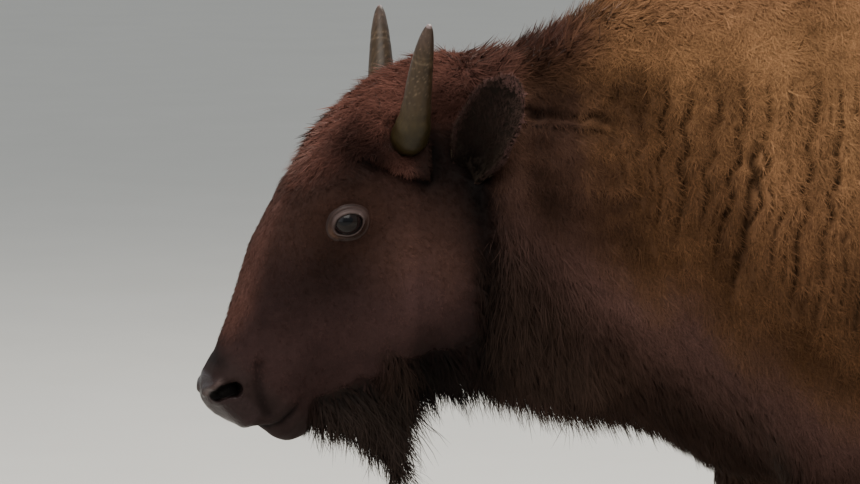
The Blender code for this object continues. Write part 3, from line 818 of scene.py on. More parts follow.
        # Painted light on the top of the head, where light falls from above, and painted shade between the
        # horn and the ear.
        top_painted_light = 0.15 * ease(z, 1.005, 1.075) * ease(x, -0.68, -0.72)
        poll_painted_shade = 0.68 * ease(x, -0.795, -0.765) * ease(x, -0.66, -0.70) * ease(z, 1.095, 1.055)
        level = level * (1 + top_painted_light) * (1 - poll_painted_shade)
        gold = self.gold(points)
        return np.stack([level * gold, level * gold**1.05, level * gold**1.10], -1)

    def gold(self, points: Array) -> Array:
        """How bright the wool is, from 1 over the shoulder to a third on the neck.

        It rises backwards and up, with one step where the wool parts deepest, and sinks
        towards the leg. It is 1 on the head and on the plain coat behind.

        Args:
            points: places.

        Returns:
            The brightness at each place.
        """
        x, _, z = points.T
        wave = 0.05 * self.edge(points) + 0.05 * self.fine(points)
        front = 0.50 + 0.8 * (z - 0.93) + 1.2 * (x + 0.45) + 2.2 * np.maximum(z - 1.05, 0)
        front += 0.30 * bell(x, z, (-0.615, 1.000), (0.07, 0.060))
        front = front * (1 - 0.30 * ease(x, -0.45, -0.50) * ease(z, 1.02, 1.05) * ease(z, 1.12, 1.08))
        front = front * (1 - 0.40 * bell(x, z, (-0.565, 0.985), (0.030, 0.035)))
        front = front * (1 - 0.40 * bell(x, z, (-0.415, 0.835), (0.035, 0.055)))
        rear = 0.46 + 0.54 * ease(z + 0.25 * (x + 0.3), 0.79, 0.94)
        rear = rear * (1 - 0.40 * bell(x, z, (-0.345, 0.715), (0.080, 0.050)))
        share = ease(x - 0.16 * z, -0.562, -0.502)
        level = np.clip(front * (1 - share) + rear * share + wave, 0.30, 1.05)
        wool = ease(x, -0.665, -0.625) * ease(z + 0.62 * x, 0.46, 0.56) * ease(x, 0.10, -0.10)
        return 1 + (level - 1) * wool

    def crack(self, points: Array, reach: float = 1.0) -> Array:
        """Where the wool parts, from 0 to 1: thin upright lines that wander along the side.

        Args:
            points: (n, 3) places.
            reach: how wide the lines are, 1 for their own width.

        Returns:
            The share at each point.
        """
        x, _, z = points.T
        bend = 0.0045 * np.sin(z * 62 + 3 * np.sin(z * 23 + x * 9)) + 0.005 * self.edge(points * (1, 1, 0.5))
        at = x - 0.15 * z + bend
        wave = np.abs(np.sin((at + 0.510) * math.pi / 0.0305))
        small = np.abs(np.sin((at + 0.5245) * math.pi / 0.0150))
        lines = ease(wave, 0.42 * reach, 0.06) * (0.35 + 0.65 * ease(self.upright(points), -0.5, 0.3))
        finer = ease(small, 0.40 * reach, 0.06) * ease(self.upright(points + 5.0), -0.2, 0.5)
        lines = np.maximum(lines, 0.6 * finer)
        main = bump(x - 0.16 * z + 0.002 * self.fine(points), -0.528, 0.0052 * reach)
        main = main * ease(z, 1.03, 0.98) * ease(z, 0.79, 0.84)
        side = ease(x, -0.57, -0.51) * ease(x, -0.14, -0.24) * ease(z, 1.10, 1.04)
        return np.maximum(lines * side * ease(z + 0.62 * x, 0.56, 0.64), main)

    def fold(self, points: Array) -> Array:
        """The creases of the neck behind the ear, from 0 to 1: two level lines of painted shade, pressed in.

        Args:
            points: places.

        Returns:
            The depth of the creases at each place.
        """
        x, _, z = points.T
        level = z + 0.10 * (x + 0.6) + 0.0035 * self.fine(points)
        lines = np.maximum(bump(level, 1.032, 0.0046), bump(level, 1.014, 0.0044))
        return lines * ease(x, -0.672, -0.655) * ease(x, -0.515, -0.56)

    def parted(self, points: Array) -> Array:
        """The cracks and the creases together, from 0 to 1."""
        return np.maximum(self.crack(points), self.fold(points))

    def flap(self, points: Array) -> tuple[Array, Array]:
        """The flap of hair under each horn's foot and the shadow below its edge, each from 0 to 1.

        Args:
            points: places.

        Returns:
            The flap and its shadow at each place.
        """
        x, _, z = points.T
        away = off_line(x, z, self.FLAP + (self.FLAP_END,))
        over = z - np.interp(x, *zip(*self.FLAP))
        side = ease(np.abs(points[:, 1]), 0.06, 0.08) * ease(x, -0.70, -0.74)
        inside = ease(over, -0.002, 0.003) * ease(x, -0.764, -0.770)
        fade = side * ease(x, -0.875, -0.835)
        return fade * inside * bump(away, 0.003, 0.009), fade * (1 - inside) * bump(away, 0.0, 0.013)

    def ground_tone(self, points: Array) -> Array:
        """The skin's colour at points, a little darker than the hair over it.

        Args:
            points: places.

        Returns:
            A colour for each place.
        """
        root, tip = self.tones(self.shares(points))
        ridge, under = self.flap(points)
        # Painted shade where the wool parts and in the creases, painted light on the flap under each horn and
        # painted shadow below its edge.
        level = (1.0 - 0.75 * self.parted(points)) * (1 + 0.6 * ridge) * (1 - 0.75 * under)
        return (0.45 * root + 0.45 * tip) * self.shade(points) * level[:, None]


# Finishes


def set_sockets(node: Node, values: dict[str, float | tuple[float, ...]]) -> None:
    """Sets a shader node's own sockets, by their names."""
    for socket, value in values.items():
        node.inputs[socket].default_value = value


@dataclass(frozen=True)
class Finish:
    """A finish that takes its colour from an attribute, broken by a noise, with a bump.

    Numbers that are the same all over go straight to the shader's sockets.
    """

    name: str
    roughness: float = 0.8
    specular: float = 0.25
    sheen: float = 0.0
    sheen_tint: Triple = (0.8, 0.6, 0.4)
    mottle: float = 0.25
    grain: float = 90.0
    bump_size: float = 700.0
    bump_depth: float = 0.0
    wet: bool = False

    def make(self) -> Material:
        """The material.

        Returns:
            The material, with its nodes.
        """
        made = bpy.data.materials.new(self.name)
        made.use_nodes = True
        tree = made.node_tree
        shader = tree.nodes["Principled BSDF"]
        set_sockets(shader, {
            "Roughness": self.roughness, "Specular IOR Level": self.specular, "Sheen Weight": self.sheen,
            "Sheen Roughness": 0.45, "Sheen Tint": (*self.sheen_tint, 1.0),
        })
        place = tree.nodes.new("ShaderNodeTexCoord")
        colour = self.attribute_node(tree, "tone")
        noise = self.noise(tree, place, self.grain, 4.0)
        levels = tree.nodes.new("ShaderNodeMapRange")
        set_sockets(levels, {
            "From Min": 0.25, "From Max": 0.75, "To Min": 1.0 - self.mottle, "To Max": 1.0 + self.mottle,
        })
        tree.links.new(noise.outputs["Fac"], levels.inputs["Value"])
        mix = tree.nodes.new("ShaderNodeMix")
        mix.data_type, mix.blend_type = "RGBA", "MULTIPLY"
        mix.inputs["Factor"].default_value = 1.0
        tree.links.new(colour.outputs["Color"], mix.inputs["A"])
        tree.links.new(levels.outputs["Result"], mix.inputs["B"])
        tree.links.new(mix.outputs["Result"], shader.inputs["Base Color"])
        if self.bump_depth:
            self.add_bump(tree, place, shader)
        if self.wet:
            self.add_wet(tree, shader)
        return made

    @staticmethod
    def attribute_node(tree: NodeTree, name: str) -> Node:
        """A node that reads a named attribute.

        Args:
            tree: the node tree.
            name: the attribute's name.

        Returns:
            The node.
        """
        node = tree.nodes.new("ShaderNodeAttribute")
        node.attribute_name = name
        return node

    @staticmethod
    def noise(tree: NodeTree, place: Node, scale: float, detail: float) -> Node:
        """A noise on Object coordinates.

        Args:
            tree: the node tree.
            place: its Texture Coordinate node.
            scale: the noise's scale.
            detail: its detail.

        Returns:
            The noise node.
        """
        noise = tree.nodes.new("ShaderNodeTexNoise")
        set_sockets(noise, {"Scale": scale, "Detail": detail})
        tree.links.new(place.outputs["Object"], noise.inputs["Vector"])
        return noise

    def add_bump(self, tree: NodeTree, place: Node, shader: Node) -> None:
        """Raises a fine bump: noise, and pebbles of a cell texture where the finish is wet.

        Args:
            tree: the node tree of the material.
            place: the node that gives the place on the surface.
            shader: its shader.
        """
        height = self.noise(tree, place, self.bump_size, 3.0).outputs["Fac"]
        if self.wet:
            grain = tree.nodes.new("ShaderNodeTexVoronoi")
            grain.inputs["Scale"].default_value = self.bump_size * 0.75
            tree.links.new(place.outputs["Object"], grain.inputs["Vector"])
            mix = tree.nodes.new("ShaderNodeMix")
            tree.links.new(self.attribute_node(tree, "wet").outputs["Fac"], mix.inputs["Factor"])
            tree.links.new(height, mix.inputs["A"])
            tree.links.new(grain.outputs["Distance"], mix.inputs["B"])
            height = mix.outputs["Result"]
        node = tree.nodes.new("ShaderNodeBump")
        set_sockets(node, {"Strength": 0.6, "Distance": self.bump_depth})
        tree.links.new(height, node.inputs["Height"])
        tree.links.new(node.outputs["Normal"], shader.inputs["Normal"])

    def add_wet(self, tree: NodeTree, shader: Node) -> None:
        """Lowers the roughness where the attribute wet says that the surface is moist.

        Args:
            tree: the node tree of the material.
            shader: its shader.
        """
        levels = tree.nodes.new("ShaderNodeMapRange")
        set_sockets(levels, {"To Min": self.roughness, "To Max": 0.24})
        tree.links.new(self.attribute_node(tree, "wet").outputs["Fac"], levels.inputs["Value"])
        tree.links.new(levels.outputs["Result"], shader.inputs["Roughness"])


HIDE = Finish(
    "hide", roughness=0.75, specular=0.06, mottle=0.16, grain=120.0,
    bump_size=520.0, bump_depth=0.0009, wet=True,
)
LID_SKIN = Finish("lid_skin", roughness=0.45, specular=0.20, mottle=0.10, bump_size=900.0, bump_depth=0.0003)
HORN = Finish(
    "horn_sheath", roughness=0.42, specular=0.22, mottle=0.20, grain=70.0,
    bump_size=300.0, bump_depth=0.0005,
)
HOOF = Finish("hoof_horn", roughness=0.55, specular=0.22, bump_size=220.0, bump_depth=0.0008)
FLOOR = Finish("floor_paint", roughness=0.9, specular=0.1, mottle=0.02, grain=3.0)
EYE = Finish("eye_surface", roughness=0.16, specular=0.20, mottle=0.10, grain=300.0)
FUR = {
    "dark_fur": Finish("short_hair", roughness=0.70, specular=0.04, sheen=0.02, mottle=0.24, grain=380.0),
    "wool": Finish("woolly_hair", roughness=0.9, specular=0.03, sheen=0.12, mottle=0.42, grain=330.0),
    "beard_hair": Finish("beard_hair_strands", roughness=0.6, specular=0.05, grain=120.0),
    "leg_fur": Finish("leg_hair", roughness=0.75, specular=0.04, sheen=0.03, grain=120.0),
    "ear_fur": Finish("ear_hair", roughness=0.8, specular=0.03, sheen=0.06, mottle=0.16, grain=150.0),
}
CROWN_FUR = Finish(
    "crown_hair", roughness=0.85, specular=0.03, sheen=0.16, sheen_tint=(0.85, 0.60, 0.52),
    mottle=0.30, grain=300.0,
)


def dress(made: Object, material: Material, slot: str, *replaced: str) -> Object:
    """Gives a piece its material and its body, and hides the nodes that it replaces.

    Args:
        made: the piece.
        material: its finish.
        slot: the record's material slot; not used.
        replaced: the nodes that it replaces.

    Returns:
        The piece.
    """
    made.data.materials.clear()
    made.data.materials.append(material)
    if replaced:
        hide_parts(*replaced)
    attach(made, BODY)
    LOG.info("%s: %d triangles", made.name, sum(len(p.vertices) - 2 for p in made.data.polygons))
    return made


# The muzzle, as it is modelled in the skin


@dataclass(frozen=True)
class Muzzle:
    """The forms and tones of the muzzle, in the head's own s, t and distance from the middle.

    The nostril is a slit that tapers as it runs forward and up from its rear end.
    """

    anatomy: Anatomy
    rear: Pair = (0.2590, -0.0246)
    run: float = 0.0215
    slope: float = 28.0
    rear_half: float = 0.0106
    front_half: float = 0.0078
    depth: float = 0.017
    mouth: tuple[Pair, ...] = (
        (0.198, -0.104), (0.221, -0.102), (0.237, -0.103), (0.254, -0.101), (0.268, -0.095), (0.284, -0.081),
    )
    wing: tuple[Pair, ...] = ((0.214, -0.030), (0.236, -0.046), (0.250, -0.064), (0.258, -0.080))
    swells: tuple[Spot, ...] = (
        (0.0026, (0.243, -0.034), (0.008, 0.014)), (0.0050, (0.300, -0.054), (0.020, 0.020)),
        (0.0040, (0.232, 0.028), (0.020, 0.014)),
    )

    def slit(self, s: Array, t: Array, y: Array) -> tuple[Array, Array]:
        """How far from the nostril's middle line places lie, 1 at its rim, and how far along it.

        Args:
            s: the first head coordinate.
            t: the second one.
            y: the distance from the middle plane.

        Returns:
            The distance and the share of the line's length.
        """
        rise = math.radians(self.slope)
        p, q = s - self.rear[0], t - self.rear[1]
        along, over = p * math.cos(rise) + q * math.sin(rise), -p * math.sin(rise) + q * math.cos(rise)
        share = np.clip(along / self.run, 0, 1)
        half = self.rear_half + (self.front_half - self.rear_half) * share
        bow = 0.0020 * np.sin(math.pi * share)
        away = np.hypot(along - share * self.run, over - bow) / half
        return np.where(y > 0.012, away, 9.0), share

    def shaped(self, points: Array, normals: Array) -> Array:
        """The points moved by the muzzle's forms.

        Bells raise the rim of the nostril, its wing, the lips and the pad, and lines press in
        the mouth, the cleft of the lip and the furrow behind the wing. The nostril itself goes
        in along one way, deepest at its rear.

        Args:
            points: places.
            normals: the skin's normals there.

        Returns:
            The moved points.
        """
        s, t, y = self.anatomy.to_head(points)
        here = ease(s, 0.17, 0.20) * ease(points[:, 0], -0.84, -0.88)
        away, share = self.slit(s, t, y)
        over = ease(t - self.rear[1] - 0.6 * (s - self.rear[0]), -0.004, 0.004)
        height = 0.0044 * bump(away, 1.60, 0.46) * (0.15 + 0.85 * over) * (0.45 + 0.55 * share)
        height = height * ease(y, 0.008, 0.02) + spots(s, t, self.swells)
        height -= 0.0044 * bump(off_line(s, t, self.wing), 0.0, 0.0062)
        height -= 0.0014 * bell(s, t, (0.248, 0.018), (0.010, 0.008)) * ease(y, 0.03, 0.02)
        line = off_line(s, t, self.mouth)
        height -= 0.0034 * bump(line, 0.0, 0.0034) * ease(s, 0.205, 0.240)
        height += 0.0026 * bump(line, 0.012, 0.007) * ease(s, 0.20, 0.24)
        height -= 0.0016 * bump(y, 0.0, 0.0030) * ease(t, 0.0, -0.015) * ease(t, -0.085, -0.075)
        chin = 0.0085 * bell(s, t, (0.262, -0.120), (0.026, 0.020))
        sign = np.where(points[:, 1] > 0, 1.0, -1.0)
        hollow = ease(away, 1.12, 0.62)
        way = unit(np.stack([0.45 + 0.5 * share, -sign * (0.85 - 0.5 * share), 0.10 + 0 * s], -1))
        depth = self.depth * (1.0 - 0.45 * share) * hollow * ease(y, 0.012, 0.022)
        moved = normals * (height * (1 - hollow))[:, None] + way * depth[:, None] - UP * chin[:, None]
        return points + here[:, None] * moved

    def tones(self, points: Array, tone: Array, bare: Array) -> Array:
        """Tones with the muzzle's own: a dark moist pad, a painted highlight on the rim over the nostril,
        and painted shade: black in the nostril, darker in the dimple over it, along the mouth and behind the
        wing.

        Args:
            points: places.
            tone: the skin's tones there.
            bare: the share of bare skin there.

        Returns:
            The new tones.
        """
        s, t, y = self.anatomy.to_head(points)
        here = ease(s, 0.19, 0.21) * ease(points[:, 0], -0.86, -0.90)
        away, share = self.slit(s, t, y)
        pad = bare[:, None]
        tone = tone * (1 - pad) + linear(44, 33, 32) * pad
        over = ease(t - self.rear[1] - 0.6 * (s - self.rear[0]), -0.002, 0.004)
        # Painted highlight: the rim over the nostril is paler.
        rim = (here * bump(away, 1.55, 0.36) * over * ease(share, 0.10, 0.65))[:, None]
        tone = tone * (1 - rim) + linear(76, 63, 60) * rim
        # Painted shade in the dimple over the nostril.
        dimple_shade = (0.45 * here * bell(s, t, (0.243, 0.010), (0.010, 0.014)))[:, None]
        tone = tone * (1 - dimple_shade)
        # Painted shade: black in the nostril, darker along the mouth and in the furrow behind the wing.
        mouth = bump(off_line(s, t, self.mouth), 0.0, 0.0042) * ease(s, 0.205, 0.245)
        dark = np.maximum(ease(away, 1.25, 0.85), 0.65 * mouth)
        dark = np.maximum(dark, 0.50 * bump(off_line(s, t, self.wing), 0.0, 0.008))
        return tone * (1 - 0.93 * here * dark)[:, None]


# The skin


@dataclass
class Skin:
    """The one skin: the flesh nodes joined, drawn smooth, sunk by the coat's depth and modelled.

    Plugs are balls, as middle and radius, that close the sockets of horns and ears.
    """

    anatomy: Anatomy
    pelage: Pelage
    muzzle: Muzzle
    plugs: tuple[tuple[Array, float], ...]
    cell: float = 0.0092
    overlap: float = 0.0008
    body_rounds: int = 14
    head_rounds: int = 5
    sink_steps: int = 5
    throat: float = 0.040

    def build(self) -> Object:
        """The skin's object, with its colours painted.

        Returns:
            The object.
        """
        mesh = self.joined()
        self.relax(mesh, self.body_rounds, 0)
        self.refine(mesh, self.head_area)
        self.relax(mesh, 0, 3)
        self.sink(mesh)
        self.refine(mesh, self.detail_area)
        self.refine(mesh, self.nose_area)
        self.relax(mesh, 0, 2, self.detail_area)
        points, _, normals = arrays_of(mesh)
        place_points(mesh, self.modelled(points, normals))
        self.relax(mesh, 0, 1, self.nose_area)
        self.colour(mesh)
        return add_object(mesh)

    def joined(self) -> Mesh:
        """The flesh nodes, swollen until they overlap and remeshed as one skin.

        Returns:
            The mesh of the skin, before it is sunk.
        """
        nodes = FLESH + HANGING + tuple(f"eye_{side}" for side in SIDES)
        meshes = [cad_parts[name].data for name in nodes]
        balls = [ball_mesh("plug", middle, radius) for middle, radius in self.plugs]
        mesh = merged_mesh("skin", meshes + balls, self.overlap)
        blank = add_object(mesh)
        remesh = blank.modifiers.new("skin", "REMESH")
        remesh.mode, remesh.voxel_size, remesh.use_smooth_shade = "VOXEL", self.cell, True
        graph = bpy.context.evaluated_depsgraph_get()
        made = bpy.data.meshes.new_from_object(blank.evaluated_get(graph))
        bpy.data.objects.remove(blank)
        for spent in (mesh, *balls):
            bpy.data.meshes.remove(spent)
        made.name = "skin"
        return made

    def head_area(self, points: Array) -> Array:
        """Where the faces are cut in four once: the head and the wool that parts.

        Args:
            points: places.

        Returns:
            For each place, whether it lies in the area.
        """
        x, _, z = points.T
        s, t, _ = self.anatomy.to_head(points)
        return ((s > -0.26) & (t > -0.26) & (x < -0.655)) | (
            (x > -0.58) & (x < -0.14) & (z + 0.62 * x > 0.53) & (z < 1.14)
        )

    def detail_area(self, points: Array) -> Array:
        """Where they are cut again: the muzzle and about the eyes."""
        s, _, _ = self.anatomy.to_head(points)
        return (points[:, 0] < -0.80) & ((s > 0.185) | (self.anatomy.off_lid(points) < 0.018))

    def nose_area(self, points: Array) -> Array:
        """Where they are cut a third time: the nostrils and lips."""
        s, t, _ = self.anatomy.to_head(points)
        return (points[:, 0] < -0.86) & (s > 0.215) & (t > -0.125)

    def refine(self, mesh: Mesh, area: Callable[[Array], Array]) -> None:
        """Cuts the faces of an area in four.

        Args:
            mesh: the mesh.
            area: tells for the faces' middles which of them are cut.
        """
        work = bmesh.new()
        work.from_mesh(mesh)
        inside = area(arrays_of(mesh)[0])
        work.edges.ensure_lookup_table()
        edges = [e for e in work.edges if inside[e.verts[0].index] and inside[e.verts[1].index]]
        bmesh.ops.subdivide_edges(work, edges=edges, cuts=1, use_grid_fill=True)
        bmesh.ops.triangulate(work, faces=[f for f in work.faces if len(f.verts) > 4])
        work.to_mesh(mesh)
        work.free()
        mesh.polygons.foreach_set("use_smooth", np.ones(len(mesh.polygons), bool))
        mesh.update()

    @staticmethod
    def neighbours(mesh: Mesh) -> Callable[[Array], Array]:
        """A function that gives the mean of each vertex's neighbours.

        Args:
            mesh: the mesh.

        Returns:
            The function.
        """
        ends = np.empty(len(mesh.edges) * 2, np.int32)
        mesh.edges.foreach_get("vertices", ends)
        a, b = ends.reshape(-1, 2).T
        count = len(mesh.vertices)
        degree = np.maximum(np.bincount(a, minlength=count) + np.bincount(b, minlength=count), 1)

        def mean(values: Array) -> Array:
            """The mean of the neighbours' values.

            Args:
                values: a row of three for each vertex.

            Returns:
                The means.
            """
            total = [
                np.bincount(a, values[b, k], count) + np.bincount(b, values[a, k], count)
                for k in range(values.shape[1])
            ]
            return np.stack(total, -1) / degree[:, None]

        return mean

    def relax(self, mesh: Mesh, even: int, plain: int, area: Callable[[Array], Array] | None = None) -> None:
        """Smooths the facets away.

        Args:
            mesh: the skin.
            even: rounds that move a vertex towards its neighbours' mean, then a little back, so
                that the form keeps its size. The head takes only the first of them.
            plain: rounds that only move it towards the mean.
            area: where, or everywhere if none is given.
        """
        points, _, _ = arrays_of(mesh)
        mean = self.neighbours(mesh)
        head = ease(points[:, 0], -0.66, -0.72)[:, None]
        inside = 1.0 if area is None else area(points).astype(float)[:, None]
        for number in range(even):
            share = np.where(number < self.head_rounds, 1.0, 1.0 - head)
            points = points + 0.55 * share * (mean(points) - points)
            points = points - 0.50 * share * (mean(points) - points)
        for _ in range(plain):
            points = points + 0.4 * inside * (mean(points) - points)
        place_points(mesh, points)

    def sink(self, mesh: Mesh) -> None:
        """Moves the skin in by the coat's depth, in steps, so that it never folds, and the throat up.

        Args:
            mesh: the mesh.
        """
        mean = self.neighbours(mesh)
        depth = self.pelage.number(self.pelage.shares(arrays_of(mesh)[0]), "sink")
        for _ in range(self.sink_steps):
            points, _, normals = arrays_of(mesh)
            place_points(mesh, points - unit(mean(normals)) * depth[:, None] / self.sink_steps)
        points, _, _ = arrays_of(mesh)
        x, _, z = points.T
        points[:, 2] = z + self.throat * ease(z, 0.82, 0.62) * ease(x, -0.735, -0.69) * ease(x, -0.34, -0.50)
        place_points(mesh, points)

    def modelled(self, points: Array, normals: Array) -> Array:
        """The points with the muzzle, the sockets, the fold under the horns and the parted wool.

        Args:
            points: places.
            normals: the skin's normals there.

        Returns:
            The moved points.
        """
        made = self.muzzle.shaped(points, normals)
        out = EyeAxes.of_side(1.0).out
        inward = -out * np.where(points[:, 1:2] > 0, (1.0, 1.0, 1.0), (1.0, -1.0, 1.0))
        made = made + inward * self.anatomy.socket(points)[:, None]
        parted = 0.005 * self.pelage.crack(points, 3.0) + 0.004 * self.pelage.parted(points)
        ridge, under = self.pelage.flap(points)
        return made + normals * (0.008 * ridge - 0.007 * under - parted)[:, None]

    def colour(self, mesh: Mesh) -> None:
        """Paints the coat's markings, with their painted shade and light, on the skin, a little darker
        than the hair over it.

        Args:
            mesh: the mesh.
        """
        points, _, _ = arrays_of(mesh)
        tone = self.pelage.ground_tone(points)
        bare = self.pelage.bare(points)
        paint(mesh, "tone", self.muzzle.tones(points, tone, bare))
        s, t, y = self.anatomy.to_head(points)
        away, _ = self.muzzle.slit(s, t, y)
        paint(mesh, "wet", np.clip(bare * (1 - 0.6 * ease(away, 1.1, 0.8)), 0, 1))


# Eyes, horns, ears and hooves


@dataclass
class Eye:
    """An eyeball with its lids, on one side.

    The lids are rings about the opening, an almond: two arcs that meet at the corners.
    """

    surface: BVHTree
    pelage: Pelage
    side: str
    rings: int = 40
    around: int = 120

    # Folds: how far each rises, how far from the rim it runs and how wide it is.
    UPPER_FOLDS = (
        (0.0012, 0.0028, 0.0020), (-0.0006, 0.0056, 0.0008),
        (0.0010, 0.0078, 0.0018), (-0.0008, 0.0104, 0.0010),
    )
    LOWER_FOLDS = ((0.0008, 0.0018, 0.0012), (-0.0007, 0.0048, 0.0010))

    def __post_init__(self) -> None:
        """Works out the ball's middle, its radius and the axes of the opening."""
        low, high = (np.array(v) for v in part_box(f"eye_{self.side}"))
        self.middle, self.radius = (low + high) / 2, float(high[0] - low[0]) / 2
        self.axes = EyeAxes.of_side(SIDES[self.side])

    def ball(self) -> Object:
        """The eyeball: a sphere about the outward axis whose cornea stands a little proud.

        Returns:
            The object.
        """
        out, back, up = self.axes.out, self.axes.back, self.axes.up
        polar = np.linspace(0.004, math.pi - 0.004, 60)[:, None]
        turn = np.linspace(0, 2 * math.pi, 64, endpoint=False)[None, :]
        reach = self.radius * (0.985 + 0.05 * bump(polar, 0.0, 0.55))
        flat = np.sin(polar) * reach
        grid = (
            self.middle
            + (np.cos(polar) * reach)[..., None] * out
            + (flat * np.cos(turn))[..., None] * back
            + (flat * np.sin(turn))[..., None] * up
        )
        mesh = tube_mesh(f"eyeball_{self.side}", grid)
        points, _, _ = arrays_of(mesh)
        from_axis = np.arccos(np.clip(unit(points - self.middle) @ out, -1, 1))
        a, b = (points - self.middle) @ back, (points - self.middle) @ up
        streaks = 1 + 0.25 * np.sin(34 * np.arctan2(b, a))
        iris = linear(22, 15, 12) * streaks[:, None]
        edge = ease(from_axis, 0.74, 0.84)[:, None]
        tone = iris * (1 - edge) + linear(40, 30, 29) * edge
        pupil = (ease(np.hypot(a / 0.0090, b / 0.0055), 1.06, 0.94) * (from_axis < 1))[:, None]
        paint(mesh, "tone", tone * (1 - pupil) + linear(4, 4, 6) * pupil)
        return add_object(mesh)

    def lids(self) -> Object:
        """The lids: rings that rise out of the socket, roll over the rim and run under the fur.

        Each ring lies a step further out than the last. Its height is the ball's plus the
        lid's thickness at first and the skin's further out. Bells press the creases in, two
        over the upper lid and one under the lower, and the last rings dive below the skin.

        Returns:
            The object.
        """
        turn = np.linspace(0, 2 * math.pi, self.around, endpoint=False)
        a, b = EyeAxes.LONG, EyeAxes.HIGH
        c, k = np.cos(turn), np.sin(turn)
        high = np.where(k > 0, 0.96 * b, 1.16 * b) * np.sign(k) * np.abs(k) ** 1.08
        almond = np.stack([a * c * np.where(c < 0, 1.10, 1.0), high - 0.0022 * ease(-c, 0.6, 1.0)], -1)
        out_way = unit(np.stack([c / a, k / b], -1))
        steps = np.linspace(0, 1, self.rings) ** 1.3 * 0.0185 - 0.0035
        narrow = 1 - 0.31 * ease(k - 0.4 * c, 0.2, -0.8)
        spread = steps[:, None] * np.where(steps[:, None] > 0, narrow[None], 1.0)
        flat = almond[None] + out_way[None] * spread[..., None] + np.array(EyeAxes.MOVED)
        over = self.middle + flat[..., :1] * self.axes.back + flat[..., 1:] * self.axes.up
        hits = draped(self.surface, over.reshape(-1, 3), self.axes.out, 0.012)
        on_skin = (hits - self.middle) @ self.axes.out + self.pelage.anatomy.socket(hits)
        on_skin = on_skin.reshape(over.shape[:2])
        rim_away = np.linalg.norm(almond + np.array(EyeAxes.MOVED), axis=1)
        away = np.minimum(np.linalg.norm(flat, axis=-1), rim_away[None])
        on_ball = np.sqrt(np.maximum(self.radius**2 - away**2, 0.0125**2)) + 0.0026
        upper = ease(k, -0.2, 0.5)[None]
        at = steps[:, None]
        beyond = ease(at, -0.0005, 0.0085)
        on_ball = on_ball - 0.0045 * (1 - ease(at, -0.0035, 0.0008))
        height = on_ball * (1 - beyond) + (on_skin + 0.0006) * beyond
        for share, folds in ((upper, self.UPPER_FOLDS), (1 - upper, self.LOWER_FOLDS)):
            height = height + share * sum(rise * bump(at, middle, reach) for rise, middle, reach in folds)
        height = height - 0.0034 * ease(at, 0.0100, 0.0148)
        grid = over + height[..., None] * self.axes.out
        faces = sheet_faces(self.rings, self.around, True)
        sizes = np.full(len(faces), 4)
        mesh = turned_out(build_mesh(f"eyelids_{self.side}", grid.reshape(-1, 3), faces.ravel(), sizes))
        if (arrays_of(mesh)[2] @ self.axes.out).mean() < 0:
            mesh.flip_normals()
        self.colour_lids(mesh, at, turn[None], upper, self.pelage.ground_tone(grid.reshape(-1, 3)))
        return add_object(mesh)

    @staticmethod
    def colour_lids(mesh: Mesh, at: Array, turn: Array, upper: Array, around: Array) -> None:
        """Paints the lids.

        A grey-violet crescent with two creases of painted shade lies over the ball and a thin pale
        rim under it. Both fade into the tone of the face around them, warmer at the front corner.

        Args:
            mesh: the lids.
            at: how far each ring lies from the rim.
            turn: each point's angle about the opening.
            upper: 1 over the upper lid, 0 under the lower.
            around: the face's own tone at each point.
        """
        at, upper = at + 0 * turn, (upper + 0 * at)[..., None]
        inner = ease(at, 0.0002, -0.0014)[..., None]
        rim = bump(at, 0.0012, 0.0013)[..., None] * (1 - upper)
        reach = 0.0026 + 0.0080 * ease(0.9 * np.sin(turn) + 0.35 * np.cos(turn), -0.35, 0.80)
        crescent = ease(at, -0.0006, 0.0010) * ease(at, 1.08 * reach, 0.18 * reach)
        crescent = (crescent * (0.25 + 0.75 * ease(np.sin(turn) + 0.6 * np.cos(turn), -0.5, 0.6)))[..., None]
        # Painted shade in the two creases of the upper lid.
        crease_shade = (0.4 * bump(at, 0.0056, 0.0008) + 0.6 * bump(at, 0.0104, 0.0011))[..., None] * upper
        warm = bump(turn, math.pi + 0.25, 0.50) * ease(at, 0.0016, 0.0036) * ease(at, 0.0100, 0.0070)
        tone = around.reshape(*at.shape, 3)
        for own, share in (
            (linear(76, 63, 60), 0.9 * crescent), (linear(56, 46, 43), 0.6 * rim),
            (linear(80, 54, 38), 0.5 * warm[..., None]), (0.0, 0.5 * crease_shade), (linear(12, 9, 9), inner),
        ):
            tone = tone + (own - tone) * share
        paint(mesh, "tone", tone.reshape(-1, 3))


